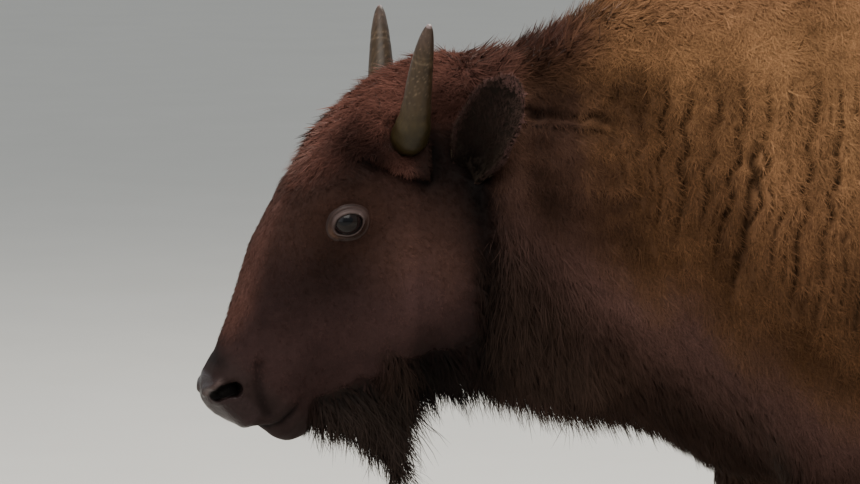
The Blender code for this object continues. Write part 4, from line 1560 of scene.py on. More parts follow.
@dataclass
class Horn:
    """A young horn's sheath: rings along a centre line that turns out and then up.

    Each station is how far it lies from the horn box's low corner, and the radius there.
    """

    side: str
    stations: tuple[tuple[float, float, float, float], ...] = (
        (0.024, 0.001, 0.023, 0.0235), (0.025, 0.029, 0.026, 0.0242), (0.027, 0.047, 0.041, 0.0230),
        (0.029, 0.060, 0.067, 0.0190), (0.031, 0.076, 0.108, 0.0156), (0.033, 0.092, 0.141, 0.0122),
        (0.035, 0.105, 0.165, 0.0074), (0.036, 0.111, 0.175, 0.0030),
    )
    rings: int = 120
    around: int = 48

    def line(self) -> tuple[Array, Array]:
        """The centre line's places, and the radius at each.

        Returns:
            The places, (rows, 3), and the radii.
        """
        low, high = (np.array(v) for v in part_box(f"horn_{self.side}"))
        sign = SIDES[self.side]
        inner = low[1] if sign > 0 else -high[1]
        rows = spline(np.array(self.stations), self.rings)
        return rows[:, :3] * (1, sign, 1) + (low[0], sign * inner, low[2]), rows[:, 3]

    def build(self) -> Object:
        """The sheath: circles across the line, each with a little of the growth rings.

        Returns:
            The object.
        """
        line, size = self.line()
        ways = unit(np.gradient(line, axis=0))
        first = unit(np.cross(ways, (1.0, 0.0, 0.0)))
        second = np.cross(ways, first)
        turn = np.linspace(0, 2 * math.pi, self.around, endpoint=False)
        at = np.linspace(0, 1, self.rings)
        ring = 1 + 0.014 * np.sin(at * 64 + 1.5 * np.sin(at * 9)) * ease(at, 0.72, 0.25)
        ring = ring + 0.006 * Ripple(0.02, 31)(line) - 0.020 * bump(at, 0.665, 0.012)
        radius = (size * ring)[:, None]
        grid = line[:, None] + radius[..., None] * (
            np.cos(turn)[None, :, None] * first[:, None] + np.sin(turn)[None, :, None] * second[:, None]
        )
        mesh = tube_mesh(f"horn_sheath_{self.side}", grid)
        share = np.concatenate([np.repeat(at, self.around), [0.0, 1.0]])
        self.colour(mesh, share)
        return add_object(mesh)

    @staticmethod
    def colour(mesh: Mesh, at: Array) -> None:
        """Paints the sheath: olive brown, nearly black at the foot, grey-violet and scuffed at the tip,
        and lighter on the side that faces forward, as a painted highlight.

        Args:
            mesh: the mesh.
            at: how far along the line each vertex lies.
        """
        points, _, normals = arrays_of(mesh)
        at = at[:, None]
        foot, middle, tip = linear(44, 35, 17), linear(52, 40, 27), linear(60, 47, 39)
        tone = foot + (middle - foot) * ease(at, 0.30, 0.55) + (tip - middle) * ease(at, 0.66, 0.85)
        tone = tone + (linear(122, 106, 104) - tone) * ease(at, 0.955, 0.985)
        specks = ease(Ripple(0.0035, 32, 14)(points * (1, 1, 0.7)), 0.85, 1.5)[:, None]
        rings = 0.5 * bump(at, 0.665, 0.006) + 0.3 * bump(at, 0.70, 0.005)
        specks = 0.8 * specks * ease(at, 0.34, 0.56) * ease(at, 0.92, 0.80)
        tone = tone + (specks + rings) * linear(74, 62, 50)
        streak = 1 + 0.16 * Ripple((0.006, 0.006, 0.06), 33, 10)(points)[:, None]
        # Painted highlight: the side that faces forward is lighter.
        front = 1 + 0.28 * ease(-normals[:, :1], -0.6, 0.9)
        paint(mesh, "tone", tone * streak * front * (1 - 0.30 * ease(at, 0.36, 0.26)))


@dataclass
class Ear:
    """An ear: a leaf cupped about its length, thick at the root and thin at the rim."""

    side: str
    half_width: float = 0.037
    cup: float = 1.15
    wall: float = 0.0035
    rows: int = 40
    columns: int = 36
    facing: float = 35.0

    def __post_init__(self) -> None:
        """Works out the root, the way to the tip, the way across and the way the cup faces."""
        low, high = (np.array(v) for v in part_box(f"ear_{self.side}"))
        sign = SIDES[self.side]
        near, far = (low[1], high[1]) if sign > 0 else (-high[1], -low[1])
        self.root = np.array((low[0] + 0.018, sign * (near + 0.016), low[2] + 0.013))
        tip = np.array((high[0] - 0.014, sign * (far - 0.008), high[2] - 0.008))
        self.along = tip - self.root
        turn = math.radians(self.facing)
        face = np.array((-math.sin(turn), sign * math.cos(turn), 0.0))
        self.face = unit(face - unit(self.along) * (face @ unit(self.along)))
        self.across = np.cross(unit(self.along), self.face)

    def grid(self) -> Array:
        """The cup's inner face: across it the leaf bends as a circle does.

        Returns:
            The face's places, (rows, columns, 3).
        """
        u = np.linspace(0.0, 1.0, self.rows)[:, None]
        v = np.linspace(-1.0, 1.0, self.columns)[None, :]
        round_tip = np.sqrt(np.clip(1 - ease(u, 0.56, 1.05) ** 2, 0, 1))
        width = self.half_width * (0.46 + 0.54 * ease(u, 0.0, 0.42)) * round_tip
        bend = self.cup * (1 - 0.55 * u)
        side = width * np.sin(v * bend) / np.sin(bend)
        deep = width * (np.cos(v * bend) - np.cos(bend)) / np.sin(bend)
        lean = 0.010 * np.sin(math.pi * u) + 0 * v
        return (
            self.root + u[..., None] * self.along + side[..., None] * self.across
            - (deep - lean)[..., None] * self.face
        )

    def build(self) -> Object:
        """The ear: the inner face and an outer one behind it, joined at the rim.

        Returns:
            The object.
        """
        inner = self.grid()
        normals = grid_normals(inner)
        if (normals @ self.face).mean() < 0:
            normals = -normals
        v = np.linspace(-1.0, 1.0, self.columns)[None, :]
        u = np.linspace(0.0, 1.0, self.rows)[:, None]
        thick = self.wall * (0.5 + 0.9 * (1 - v**2) + 1.5 * (1 - u)) * ease(u, 1.06, 0.85)
        outer = inner - normals * np.maximum(thick, 0.001)[..., None]
        loop = np.concatenate([inner, outer[:, ::-1]], 1)
        mesh = tube_mesh(f"ear_shell_{self.side}", loop)
        depth = np.concatenate([np.ones_like(inner[..., 0]), 0 * outer[..., 0]], 1)
        edge = np.concatenate([np.abs(v) + 0 * u, np.abs(v[:, ::-1]) + 0 * u], 1)
        high = np.concatenate([u + 0 * v, u + 0 * v], 1)
        rim = np.clip(ease(edge, 0.78, 0.97) + ease(high, 0.88, 0.98), 0, 1)
        inside = np.concatenate([(depth * (1 - rim)).ravel(), [0, 0]])
        paint(mesh, "tone", linear(34, 24, 21) * (1 - inside[:, None]) + linear(22, 17, 14) * inside[:, None])
        paint(mesh, "inside", inside)
        paint(mesh, "high", np.concatenate([high.ravel(), [0, 1]]))
        return add_object(mesh)


@dataclass
class Hooves:
    """The eight claws, smooth over the frame's own claws."""

    rings: int = 26
    around: int = 40

    def build(self) -> Object:
        """One mesh of all the claws: rounded wedges, sloped at the toe and flat below.

        Returns:
            The object.
        """
        claws = [self.claw(name) for name in CLAWS]
        made = merged_mesh("hooves", claws)
        for mesh in claws:
            bpy.data.meshes.remove(mesh)
        where, _, _ = arrays_of(made)
        rise = ease(where[:, 2], 0.0, 0.06)[:, None]
        bands = 1 + 0.12 * np.sin(where[:, 2:] * 900)
        paint(made, "tone", (linear(30, 25, 22) * (1 - rise) + linear(24, 19, 17) * rise) * bands)
        return add_object(made)

    def claw(self, name: str) -> Mesh:
        """One claw: ovals stacked from the sole, drawn back as they rise and in above the wall.

        Args:
            name: the node of the claw.

        Returns:
            The mesh.
        """
        low, high = (np.array(v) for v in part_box(name))
        h = np.linspace(0, 1.2, self.rings)[:, None]
        turn = np.linspace(0, 2 * math.pi, self.around, endpoint=False)[None, :]
        size = high - low
        toe = low[0] + size[0] * (0.0 + 0.36 * h)
        heel = high[0] - size[0] * (0.02 + 0.10 * np.sin(h * math.pi * 0.5))
        middle, half = (toe + heel) / 2, (heel - toe) / 2
        wide = size[1] / 2 * (1.0 - 0.10 * h)
        edge = 0.965 + 0.035 * ease(h, 0.0, 0.10) - 0.45 * np.clip(h - 0.94, 0, 1) ** 2 / 0.26**2
        c, s = np.cos(turn), np.sin(turn)
        round_x = np.sign(c) * np.abs(c) ** 0.85
        taper = 1 - 0.22 * ease(-c, 0.2, 1.0)
        x = middle + half * edge * round_x
        y = (low[1] + high[1]) / 2 + wide * edge * np.sign(s) * np.abs(s) ** 0.8 * taper
        z = low[2] + size[2] * (0.004 + 0.996 * h) + 0 * turn
        return tube_mesh(f"{name}_smooth", np.stack([x, y, z], -1))


# The coat


@dataclass(frozen=True)
class CoatPart:
    """One piece of the coat: which kinds it takes, on which side, and how its locks are cut.

    A lock is a short base that splits in an odd number of tips. Rows is how many rows of
    points each tip has between the split and its end.
    """

    name: str
    kinds: tuple[Kind, ...]
    budget: int
    rows: int
    slot: str
    side: float = 0.0
    tips: int = 3
    replaces: tuple[str, ...] = ()

    def triangles(self) -> int:
        """The triangles of one lock."""
        return self.tips + 1 + self.tips * (2 * self.rows + 1)

    def each(self) -> int:
        """The points of one lock."""
        return 2 + self.tips + 1 + self.tips * (2 * self.rows + 1)


def coat_parts() -> list[CoatPart]:
    """The pieces of the coat that grow on the skin.

    Returns:
        The pieces, in the order in which they are grown.
    """
    parts = []
    for side, sign in SIDES.items():
        face = (Kind.FACE, Kind.JAW, Kind.BROW, Kind.BRIDGE, Kind.CHIN)
        parts += [
            CoatPart(f"coat_face_{side}", face, 110_000, 0, "dark_fur", sign),
            CoatPart(f"coat_neck_{side}", (Kind.NECK, Kind.BRISKET), 120_000, 0, "dark_fur", sign),
            CoatPart(f"coat_hump_{side}", (Kind.WOOL, Kind.CREST), 192_000, 0, "wool", sign),
            CoatPart(f"coat_shoulder_{side}", (Kind.SHOULDER,), 92_000, 0, "wool", sign),
            CoatPart(f"coat_flank_{side}", (Kind.FLANK, Kind.RUMP, Kind.BELLY), 75_000, 0, "wool", sign),
        ]
    return parts + [
        CoatPart("coat_crown", (Kind.MOP, Kind.NAPE), 120_000, 0, "dark_fur"),
        CoatPart("coat_beard", (Kind.BEARD, Kind.THROAT), 116_000, 2, "beard_hair", replaces=("beard",)),
        CoatPart("coat_legs", (Kind.SLEEVE, Kind.SHANK), 50_000, 0, "leg_fur"),
        CoatPart("coat_tail", (Kind.TAIL, Kind.SWITCH), 20_000, 2, "leg_fur", replaces=("tail_tuft",)),
    ]


def ear_part(side: str) -> CoatPart:
    """The piece of the coat that grows on an ear."""
    kinds = (Kind.EAR_BACK, Kind.EAR_RIM, Kind.EAR_INSIDE)
    return CoatPart(f"coat_ear_{side}", kinds, 20_000, 0, "ear_fur")


@dataclass
class Ground:
    """A surface that hair grows on: how its hair is shared out, how it lies and what is bald."""

    made: Object
    pelage: Pelage
    anatomy: Anatomy
    horns: tuple[tuple[Array, Array], ...] = ()

    def __post_init__(self) -> None:
        """Reads the surface."""
        self.points, self.triangles, self.normals = arrays_of(self.made.data)
        corners = self.points[self.triangles]
        sides = np.cross(corners[:, 1] - corners[:, 0], corners[:, 2] - corners[:, 0])
        self.areas = np.linalg.norm(sides, axis=1) / 2
        self.middles = corners.mean(1)
        self.thick = self.grows(self.middles)
        self.middle_shares = self.shares(self.middles, self.triangles[:, 0])

    def grows(self, points: Array) -> Array:
        """1 where hair grows, 0 in the eyes' openings and under the horns.

        Args:
            points: places.

        Returns:
            The share of hair at each place.
        """
        hair = ease(self.anatomy.off_lid(points), 0.0085, 0.0120)
        for line, size in self.horns:
            far = np.linalg.norm(points[:, None] - line[None, :50:5], axis=2)
            near = np.min(far / size[None, :50:5], axis=1)
            hair = hair * (near > 0.93)
        return hair

    def shares(self, points: Array, vertices: Array) -> Array:
        """The share of each kind at points, where vertices are the surface's own nearest ones."""
        return self.pelage.shares(points)

    def lie(self, points: Array, normals: Array, shares: Array) -> Array:
        """The way the hair lies at points."""
        return self.pelage.lie(points, normals, shares)

    def roots(self, part: CoatPart, draw: Random) -> tuple[Array, Array, Array]:
        """Places, normals and nearest vertices of a part's roots, the closer the shorter the hair.

        Args:
            part: the piece of the coat.
            draw: the random numbers.

        Returns:
            The places, their normals and the nearest vertex of each.
        """
        share = self.middle_shares[:, [INDEX[kind] for kind in part.kinds]].sum(1)
        number = {n: self.pelage.number(self.middle_shares, n) for n in ("length", "width", "cover")}
        weight = self.areas * number["cover"] / (number["length"] * number["width"]) ** 0.7
        weight = weight * share * self.thick
        if part.side:
            weight = weight * (self.middles[:, 1] * part.side > 0)
        count = part.budget // part.triangles()
        total = np.cumsum(weight)
        faces = np.searchsorted(total, draw.uniform(0, total[-1], count))
        a, b = draw.uniform(size=(2, count, 1))
        a, b = np.where(a + b > 1, 1 - a, a), np.where(a + b > 1, 1 - b, b)
        mix = np.concatenate([1 - a - b, a, b], 1)[..., None]
        corners = self.triangles[faces]
        places = (self.points[corners] * mix).sum(1)
        return places, unit((self.normals[corners] * mix).sum(1)), corners[:, 0]


@dataclass
class EarGround(Ground):
    """The ground of an ear, whose kinds follow its inside and its rim."""

    ear: Ear | None = None

    def __post_init__(self) -> None:
        """Reads which vertices lie inside the cup and how high they are."""
        count = len(self.made.data.vertices)
        self.inside, self.high = np.empty(count), np.empty(count)
        self.made.data.attributes["inside"].data.foreach_get("value", self.inside)
        self.made.data.attributes["high"].data.foreach_get("value", self.high)
        super().__post_init__()

    def grows(self, points: Array) -> Array:
        """Hair grows all over an ear."""
        return np.ones(len(points))

    def shares(self, points: Array, vertices: Array) -> Array:
        """Inside hair in the cup, rim hair along its edge, short hair behind.

        Args:
            points: places.
            vertices: the nearest vertex of the ground.

        Returns:
            The share of each kind, a row for each place.
        """
        layers = Layers(len(points), Kind.EAR_BACK)
        v = np.abs((points - self.ear.root) @ unit(self.ear.across)) / self.ear.half_width
        layers.lay(Kind.EAR_RIM, np.maximum(ease(v, 0.55, 0.85), ease(self.high[vertices], 0.66, 0.86)))
        layers.lay(Kind.EAR_INSIDE, self.inside[vertices] * ease(self.high[vertices], 0.93, 0.80))
        return layers.found

    def lie(self, points: Array, normals: Array, shares: Array) -> Array:
        """Hair lies towards the tip and out over the edges.

        Args:
            points: places.
            normals: the skin's normals there.
            shares: how much of each kind of hair grows there.

        Returns:
            A unit vector for each place.
        """
        side = (points - self.ear.root) @ unit(self.ear.across) / self.ear.half_width
        ways = unit(self.ear.along) + 0.9 * side[:, None] * unit(self.ear.across)
        return unit(ways - normals * (ways * normals).sum(1, keepdims=True))


@dataclass
class Locks:
    """The locks of one piece of the coat, a row for each, as chance draws them.

    Look is the numbers of their kinds by name. Cell and turn are two numbers that a clump
    shares, and pull is the way to its middle. Yaw turns a lock aside from the lie of the hair,
    fan turns each of its strands further, and lift is how steeply each rises, in radians.
    """

    part: CoatPart
    draw: Random
    roots: Array
    normals: Array
    shares: Array
    lie: Array
    look: dict[str, Array]
    cell: Array
    turn: Array
    pull: Array
    length: Array
    yaw: Array
    fan: Array
    lift: Array


@dataclass
class Coat:
    """Locks rooted on a ground: thin tapered strands that share a base and follow the lie."""

    pelage: Pelage
    ground: Ground
    patch: float = 0.003
    split: float = 0.36
    floor: float = 0.004

    def grow(self, part: CoatPart, seed: int) -> Object:
        """One piece of the coat.

        Args:
            part: what it holds.
            seed: the seed of its random numbers.

        Returns:
            The piece's object, with its colours and its map.
        """
        locks = self.drawn(part, np.random.default_rng(seed))
        path = self.paths(locks)
        path[..., 2] = np.maximum(path[..., 2], self.floor)
        facing, soft = self.faced(locks)
        mesh = self.ribbons(locks, path, facing)
        self.soften(mesh, locks, soft)
        self.colour(mesh, locks)
        self.map(mesh, locks)
        return add_object(mesh)

    def drawn(self, part: CoatPart, draw: Random) -> Locks:
        """The locks of a piece: shorter and lying closer where the wool parts, longer where they are stray.

        Args:
            part: what the piece holds.
            draw: its random numbers.

        Returns:
            The locks.
        """
        roots, normals, vertices = self.ground.roots(part, draw)
        count, tips = len(roots), part.tips
        shares = self.ground.shares(roots, vertices)
        lie = self.ground.lie(roots, normals, shares)
        names = ("length", "width", "lift", "curl", "messy", "clump", "droop", "patchy", "stray")
        look = {name: self.pelage.number(shares, name) for name in names}
        crack, near = self.pelage.parted(roots), self.pelage.crack(roots, 2.2)
        cell, turn, pull = self.clumps(roots, look["length"])
        wild = np.where(draw.uniform(size=count) < look["stray"] * (1 - near), 1.4, 1.0)
        uneven = 1 + 1.6 * look["patchy"] * (2 * cell - 1)
        length = look["length"] * draw.uniform(0.75, 1.10, count) * uneven * (1 - 0.62 * crack) * wild
        messy = look["messy"] * (1 - 0.75 * near)
        yaw = messy * (0.9 * (1 - 2 * turn) + 0.55 * draw.normal(size=count))
        fan = (0.12 + 0.55 * messy[:, None]) * draw.normal(size=(count, tips))
        lift = look["lift"] * draw.uniform(0.7, 1.3, count) * (1 - 0.4 * crack) * wild
        lift = np.radians(np.clip(lift[:, None] * draw.uniform(0.8, 1.2, (count, tips)), 4, 82))
        return Locks(part, draw, roots, normals, shares, lie, look, cell, turn, pull, length, yaw, fan, lift)

    @staticmethod
    def faced(locks: Locks) -> tuple[Array, Array]:
        """The way each lock faces and the way it is shaded: the skin's, turned aside above and below.

        There a lock that stands up would show its edge or its back from the side, so it faces
        left or right, by chance near the middle and outwards elsewhere.

        Args:
            locks: the locks.

        Returns:
            The way each faces, and the normal that shades it.
        """
        turned = ease(np.abs(locks.normals[:, 2]), 0.55, 0.90) * ease(locks.look["lift"], 15, 26)
        chance = locks.draw.uniform(-1, 1, len(locks.roots))
        pick = np.where(chance < locks.roots[:, 1] / 0.05, 1.0, -1.0)
        aside = (turned * pick)[:, None] * np.array((0.0, 1.0, 0.0))
        return unit(locks.normals + 1.1 * aside), unit(locks.normals * (1 - 0.7 * turned)[:, None] + aside)

    def clumps(self, roots: Array, length: Array) -> tuple[Array, Array, Array]:
        """Which clump each lock draws to.

        Space is bent by a noise and cut in cells. The locks of a cell share two numbers from 0
        to 1 and draw towards the mean of their roots.

        Args:
            roots: the locks' roots.
            length: their lengths, since long hair gathers in larger clumps.

        Returns:
            The first shared number, the second one, and the way to the clump's middle.
        """
        size = np.where(length > 0.018, 0.0125, 0.007)[:, None]
        bent = roots + 0.006 * np.stack([self.pelage.fine(roots + k) for k in (0.0, 3.0, 7.0)], -1)
        cells = np.floor(bent / size / (1, 1, 1.5)).astype(np.int64) + 1024
        key = ((cells[:, 0] * 4096) + cells[:, 1]) * 4096 + cells[:, 2]
        _, index, many = np.unique(key, return_inverse=True, return_counts=True)
        index = index.reshape(-1)
        middle = np.stack([np.bincount(index, roots[:, k]) for k in range(3)], -1) / many[:, None]
        shared = np.random.default_rng(99).uniform(size=(len(many), 2))[index]
        return shared[:, 0], shared[:, 1], middle[index] - roots

    def paths(self, locks: Locks) -> Array:
        """The centre lines of the strands.

        Up to the split the strands of a lock keep one way and lie a width apart, so that none
        crosses another. Beyond it they fan out and wave from side to side. Each leaves the
        skin at its lift, bends back along it, droops by its weight and draws to its clump.

        Args:
            locks: the locks.

        Returns:
            (locks, strands, steps + 1, 3) places.
        """
        count, tips = locks.fan.shape
        look, draw, marks = locks.look, locks.draw, self.marks(locks.part)
        ahead, up = locks.lie[:, None], locks.normals[:, None]
        aside = np.cross(locks.lie, locks.normals)[:, None]
        reach = locks.length[:, None] * draw.uniform(0.90, 1.02, (count, tips))
        turns = draw.uniform(3.0, 6.5, (count, tips))
        start = draw.uniform(0, 2 * math.pi, (count, tips))
        spread = (np.arange(tips) - tips // 2)[None, :] * look["width"][:, None]
        curl = look["curl"][:, None]
        path = np.empty((count, tips, len(marks), 3))
        path[:, :, 0] = (locks.roots - locks.normals * 0.0008)[:, None]
        at = path[:, :, 0].copy()
        for k, share in enumerate(marks[1:], 1):
            free = (share - self.split) / (1 - self.split)
            turn = locks.yaw[:, None] + locks.fan * min(1.0, 2.0 * free)
            flat = ahead * np.cos(turn)[..., None] + aside * np.sin(turn)[..., None]
            angle = (locks.lift * (1.25 - 0.75 * share))[..., None]
            way = flat * np.cos(angle) + up * np.sin(angle)
            way = unit(way - UP * (look["droop"] * share * 1.4)[:, None, None])
            at = at + way * (reach * (share - marks[k - 1]))[..., None]
            wave = curl * free * np.sin(start + turns * share) + spread
            puff = curl * free * 0.6 * np.cos(start + turns * share)
            gather = locks.pull[:, None] * (look["clump"] * share**1.3)[:, None, None]
            path[:, :, k] = at + aside * wave[..., None] + up * puff[..., None] + gather
        return path

    def marks(self, part: CoatPart) -> Array:
        """How far along its strand each row of points lies."""
        return np.concatenate([[0.0], np.linspace(self.split, 1.0, part.rows + 2)])

    def ribbons(self, locks: Locks, path: Array, facing: Array) -> Mesh:
        """The locks over the centre lines: a base between two roots and the split, and tapered strands.

        Args:
            locks: the locks.
            path: the centre lines of their strands.
            facing: the way each lock faces.

        Returns:
            The mesh.
        """
        part, draw, (count, tips) = locks.part, locks.draw, path.shape[:2]
        width = locks.look["width"][:, None]
        along = unit(np.gradient(path, axis=2))
        roll = draw.uniform(-0.35, 0.35, (count, tips, 1, 1))
        across = unit(np.cross(along, facing[:, None, None]))
        across = across * np.cos(roll) + np.cross(across, along) * np.sin(roll)
        half = 0.5 * width[..., None, None] * draw.uniform(0.75, 1.25, (count, tips, 1, 1))
        half = half * (1 - self.marks(part) ** 2.0)[None, None, :, None]
        left, right = path - across * half, path + across * half
        lock = np.empty((count, part.each(), 3))
        lock[:, 0] = path[:, 0, 0] - across[:, tips // 2, 0] * width * 0.8
        lock[:, 1] = path[:, 0, 0] + across[:, tips // 2, 0] * width * 0.8
        lock[:, 2] = left[:, 0, 1]
        lock[:, 3 : 2 + tips] = (right[:, :-1, 1] + left[:, 1:, 1]) / 2
        lock[:, 2 + tips] = right[:, -1, 1]
        for j in range(tips):
            first = 3 + tips + j * (2 * part.rows + 1)
            for r in range(part.rows):
                lock[:, first + 2 * r] = left[:, j, 2 + r]
                lock[:, first + 2 * r + 1] = right[:, j, 2 + r]
            lock[:, first + 2 * part.rows] = path[:, j, -1]
        loops, sizes = self.template(part)
        corners = np.arange(count)[:, None] * part.each() + np.array(loops)[None]
        return build_mesh(part.name, lock.reshape(-1, 3), corners.ravel(), np.tile(np.array(sizes), count))

    @staticmethod
    def template(part: CoatPart) -> tuple[list[int], list[int]]:
        """The faces of one lock: a base of one quad and triangles, and the strands' quads and tips.

        Args:
            part: the piece that the lock belongs to.

        Returns:
            The corners of the faces, one after another, and how many each face has.
        """
        loops, sizes, middle = [], [], part.tips // 2
        for j in range(part.tips):
            near, far = 2 + j, 3 + j
            base = [0, 1, far, near] if j == middle else [0 if j < middle else 1, far, near]
            loops, sizes = loops + base, sizes + [len(base)]
            first = 3 + part.tips + j * (2 * part.rows + 1)
            for r in range(part.rows):
                loops, sizes = loops + [near, far, first + 2 * r + 1, first + 2 * r], sizes + [4]
                near, far = first + 2 * r, first + 2 * r + 1
            loops, sizes = loops + [near, far, first + 2 * part.rows], sizes + [3]
        return loops, sizes

    def rows_of(self, part: CoatPart) -> tuple[Array, Array]:
        """Where the points of one lock lie.

        Args:
            part: the piece that the lock belongs to.

        Returns:
            How far along the lock each point is, and which strand it is on.
        """
        marks = self.marks(part)
        along = [0.0, 0.0] + [marks[1]] * (part.tips + 1)
        strand = [part.tips // 2] * 2 + [min(j, part.tips - 1) for j in range(part.tips + 1)]
        for j in range(part.tips):
            along += [m for m in marks[2:-1] for _ in range(2)] + [1.0]
            strand += [j] * (2 * part.rows + 1)
        return np.array(along), np.array(strand)

    @staticmethod
    def soften(mesh: Mesh, locks: Locks, normals: Array) -> None:
        """Shades each lock by one normal, leant by clump and by lock, so that the coat reads as soft.

        Args:
            mesh: the piece's mesh.
            locks: its locks.
            normals: the normal that shades each lock.
        """
        patchy = locks.look["patchy"]
        angle, lean = 2 * math.pi * locks.turn, 2.2 * patchy * (0.4 + 0.6 * locks.cell)
        first = unit(np.cross(normals, (1.0, 0.0, 0.0)))
        ways = first * np.cos(angle)[:, None] + np.cross(normals, first) * np.sin(angle)[:, None]
        rough = (0.05 + 1.4 * patchy)[:, None] * locks.draw.normal(size=normals.shape)
        leant = unit(normals + ways * lean[:, None] + rough)
        whole = np.repeat(leant[:, None], locks.part.each(), 1).astype(np.float32)
        layer = mesh.attributes.new("custom_normal", "FLOAT_VECTOR", "POINT")
        layer.data.foreach_set("vector", whole.ravel())

    def colour(self, mesh: Mesh, locks: Locks) -> None:
        """Paints each strand from its root's tone to its tip's, by clump and by strand.

        Where the wool parts or the neck creases, a point is darkened as painted shade by its own
        place and not by its root's, so that the line stays whole under hair that crosses it.

        Args:
            mesh: the piece's mesh.
            locks: its locks.
        """
        part, draw, roots, patchy = locks.part, locks.draw, locks.roots, locks.look["patchy"]
        root, tip = self.pelage.tones(locks.shares)
        level = (1 + patchy * (2 * locks.cell - 1)) * draw.uniform(0.94, 1.06, len(roots))
        # Painted light on the flap of hair under each horn and painted shadow below its edge; shade() adds
        # the painted shade and light of the face.
        ridge, under = self.pelage.flap(roots)
        level = self.pelage.shade(roots) * (level * (1 + 0.6 * ridge) * (1 - 0.75 * under))[:, None]
        own = 1 + (1.1 * patchy + 0.06)[:, None] * draw.uniform(-1, 1, (len(roots), part.tips))
        along, strand = self.rows_of(part)
        mix = along[None, :, None] ** 0.8
        tone = (root[:, None] * (1 - mix) + tip[:, None] * mix) * level[:, None] * own[:, strand][..., None]
        # Painted shade where the wool parts and in the creases of the neck, by each point's own place.
        if set(part.kinds) & {Kind.WOOL, Kind.NECK, Kind.SHOULDER}:
            points = arrays_of(mesh)[0]
            tone = tone * (1 - 0.86 * self.pelage.parted(points).reshape(tone.shape[:2]))[..., None]
        paint(mesh, "tone", tone.reshape(-1, 3))

    def map(self, mesh: Mesh, locks: Locks) -> None:
        """Maps each lock to a small patch at its root's place on an unwrap of the skin.

        The skin is unrolled like a scroll about the body's length: one way is the place along
        the body, the other is the angle round it. A leg is unrolled about its own length.

        Args:
            mesh: the piece's mesh.
            locks: its locks.
        """
        low, high = np.array(CAD_BOX[0]), np.array(CAD_BOX[1])
        x, y, z = locks.roots.T
        along = (x - low[0]) / (high[0] - low[0])
        axis = np.interp(x, (-1.0, -0.75, -0.5, -0.2, 0.4, 0.9), (0.75, 0.88, 0.92, 0.95, 0.92, 0.95))
        angle = np.arctan2(y, axis - z) / (2 * math.pi) + 0.5
        u, v = 0.02 + 0.94 * along, 0.30 + 0.66 * angle
        leg = z < 0.55
        near = np.where(x > 0.25, 0.76, -0.24)
        round_leg = np.arctan2(np.abs(y) - 0.118, x - near) / (2 * math.pi) + 0.5
        column = (x > 0.25) * 2 + (y > 0)
        u = np.where(leg, 0.02 + (column + 0.92 * round_leg) * 0.235, u)
        v = np.where(leg, 0.02 + 0.24 * z / 0.55, v)
        down, strand = self.rows_of(locks.part)
        across = (strand + 0.5) / locks.part.tips - 0.5
        places = np.stack([u[:, None] + across * self.patch, v[:, None] + down * self.patch], -1)
        corners = np.empty(len(mesh.loops), np.int32)
        mesh.loops.foreach_get("vertex_index", corners)
        layer = mesh.uv_layers.new(name="OFBake")
        layer.uv.foreach_set("vector", places.reshape(-1, 2)[corners].astype(np.float32).ravel())


# The studio


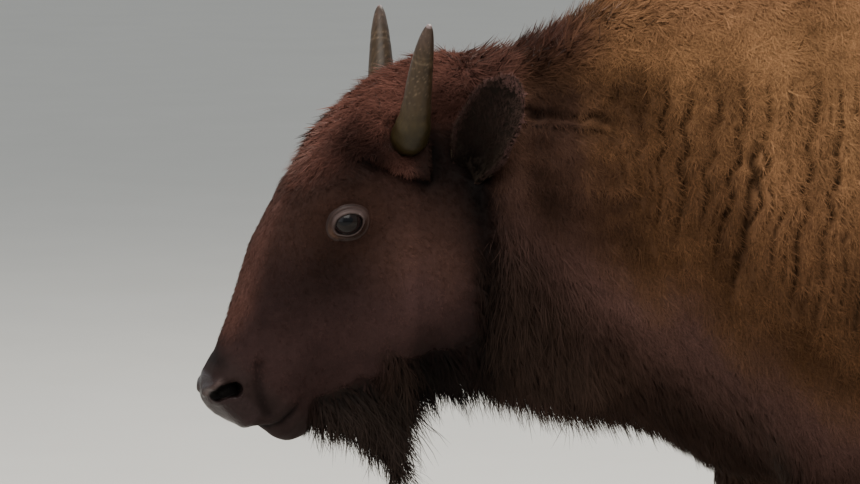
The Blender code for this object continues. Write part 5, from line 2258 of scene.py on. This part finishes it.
@dataclass
class Studio:
    """The floor, the light and the camera."""

    anatomy: Anatomy
    azimuth: float = -11.0
    elevation: float = 6.6
    distance: float = 7.0
    view_width: float = 860 / 790

    def build(self) -> None:
        """Sets the studio up."""
        self.floor()
        self.world()
        self.lamp("key_light", (-1.6, -3.0, 5.0), 4.4, 335.0, (1.0, 0.97, 0.92))
        self.lamp("fill_light", (-4.4, -1.6, 1.8), 3.0, 34.0, (0.93, 0.95, 1.0))
        self.lamp("rim_light", (1.2, 3.2, 4.8), 2.6, 300.0, (1.0, 0.95, 0.88))
        self.camera()

    def floor(self) -> None:
        """A wide plain floor."""
        reach = 60.0
        points = np.array([(-reach, -reach, 0), (reach, -reach, 0), (reach, reach, 0), (-reach, reach, 0)])
        made = add_object(build_mesh("floor", points, np.arange(4), np.array([4])))
        paint(made.data, "tone", np.repeat(linear(206, 204, 198)[None], 4, 0))
        made.data.materials.append(FLOOR.make())

    @staticmethod
    def world() -> None:
        """A pale even sky."""
        world = bpy.data.worlds.new("sky")
        world.use_nodes = True
        sky = world.node_tree.nodes["Background"]
        sky.inputs["Color"].default_value = (0.86, 0.90, 0.93, 1.0)
        sky.inputs["Strength"].default_value = 0.62
        bpy.context.scene.world = world

    def lamp(self, name: str, place: Triple, size: float, power: float, colour: Triple) -> None:
        """A square soft lamp that faces the animal's shoulder.

        Args:
            name: its name.
            place: where it hangs.
            size: the length of its edge.
            power: its power in watts.
            colour: the colour of its light.
        """
        light = bpy.data.lights.new(name, "AREA")
        light.shape, light.size, light.energy, light.color = "SQUARE", size, power, colour
        made = bpy.data.objects.new(name, light)
        made.location = place
        made.rotation_euler = (Vector(place) - Vector((-0.4, 0, 0.9))).to_track_quat("Z", "Y").to_euler()
        bpy.context.scene.collection.objects.link(made)

    def camera(self) -> None:
        """The camera: level with the head, from the left and a little above."""
        azimuth, elevation = math.radians(self.azimuth), math.radians(self.elevation)
        right = Vector((math.cos(azimuth), math.sin(azimuth), 0.0))
        level = math.cos(elevation)
        back = Vector((math.sin(azimuth) * level, -math.cos(azimuth) * level, math.sin(elevation)))
        target = Vector((self.anatomy.eye[0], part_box("eye_left")[0].y, self.anatomy.eye[2]))
        target = target + right * 0.101 - back.cross(right) * 0.025
        lens = bpy.data.cameras.new("camera")
        lens.sensor_width = 36.0
        lens.lens = lens.sensor_width / self.view_width * self.distance
        lens.clip_end = 200.0
        made = bpy.data.objects.new("camera", lens)
        made.location = target + back * self.distance
        made.rotation_euler = back.to_track_quat("Z", "Y").to_euler()
        bpy.context.scene.collection.objects.link(made)
        bpy.context.scene.camera = made


def main() -> None:
    """Builds the animal and the studio, and reports each piece."""
    logging.basicConfig(level=logging.INFO, format="%(relativeCreated)7d ms  %(message)s")
    anatomy = Anatomy.from_frame()
    pelage = Pelage(anatomy)
    horns, ears = [Horn(side) for side in SIDES], [Ear(side) for side in SIDES]
    plugs = tuple((horn.line()[0][4], 0.0215) for horn in horns) + tuple((ear.root, 0.017) for ear in ears)
    skin = Skin(anatomy, pelage, Muzzle(anatomy), plugs).build()
    dress(skin, HIDE.make(), "dark_fur", *FLESH)
    surface = tree_of(skin.data)
    lid, ball, sheath = LID_SKIN.make(), EYE.make(), HORN.make()
    fur = {slot: finish.make() for slot, finish in FUR.items()}
    for number, (side, horn, ear) in enumerate(zip(SIDES, horns, ears)):
        eye = Eye(surface, pelage, side)
        dress(eye.ball(), ball, "eye", f"eye_{side}")
        dress(eye.lids(), lid, "dark_fur")
        dress(horn.build(), sheath, "horn", f"horn_{side}")
        shell = dress(ear.build(), fur["ear_fur"], "ear_fur", f"ear_{side}")
        coat = Coat(pelage, EarGround(shell, pelage, anatomy, ear=ear))
        dress(coat.grow(ear_part(side), 80 + number), fur["ear_fur"], "ear_fur")
    dress(Hooves().build(), HOOF.make(), "hoof", *CLAWS)
    crown = CROWN_FUR.make()
    coat = Coat(pelage, Ground(skin, pelage, anatomy, tuple(horn.line() for horn in horns)))
    for number, part in enumerate(coat_parts()):
        finish = crown if part.name == "coat_crown" else fur[part.slot]
        dress(coat.grow(part, 100 + number), finish, part.slot, *part.replaces)
    Studio(anatomy).build()
    bpy.context.view_layer.update()


if __name__ == "__main__":
    main()
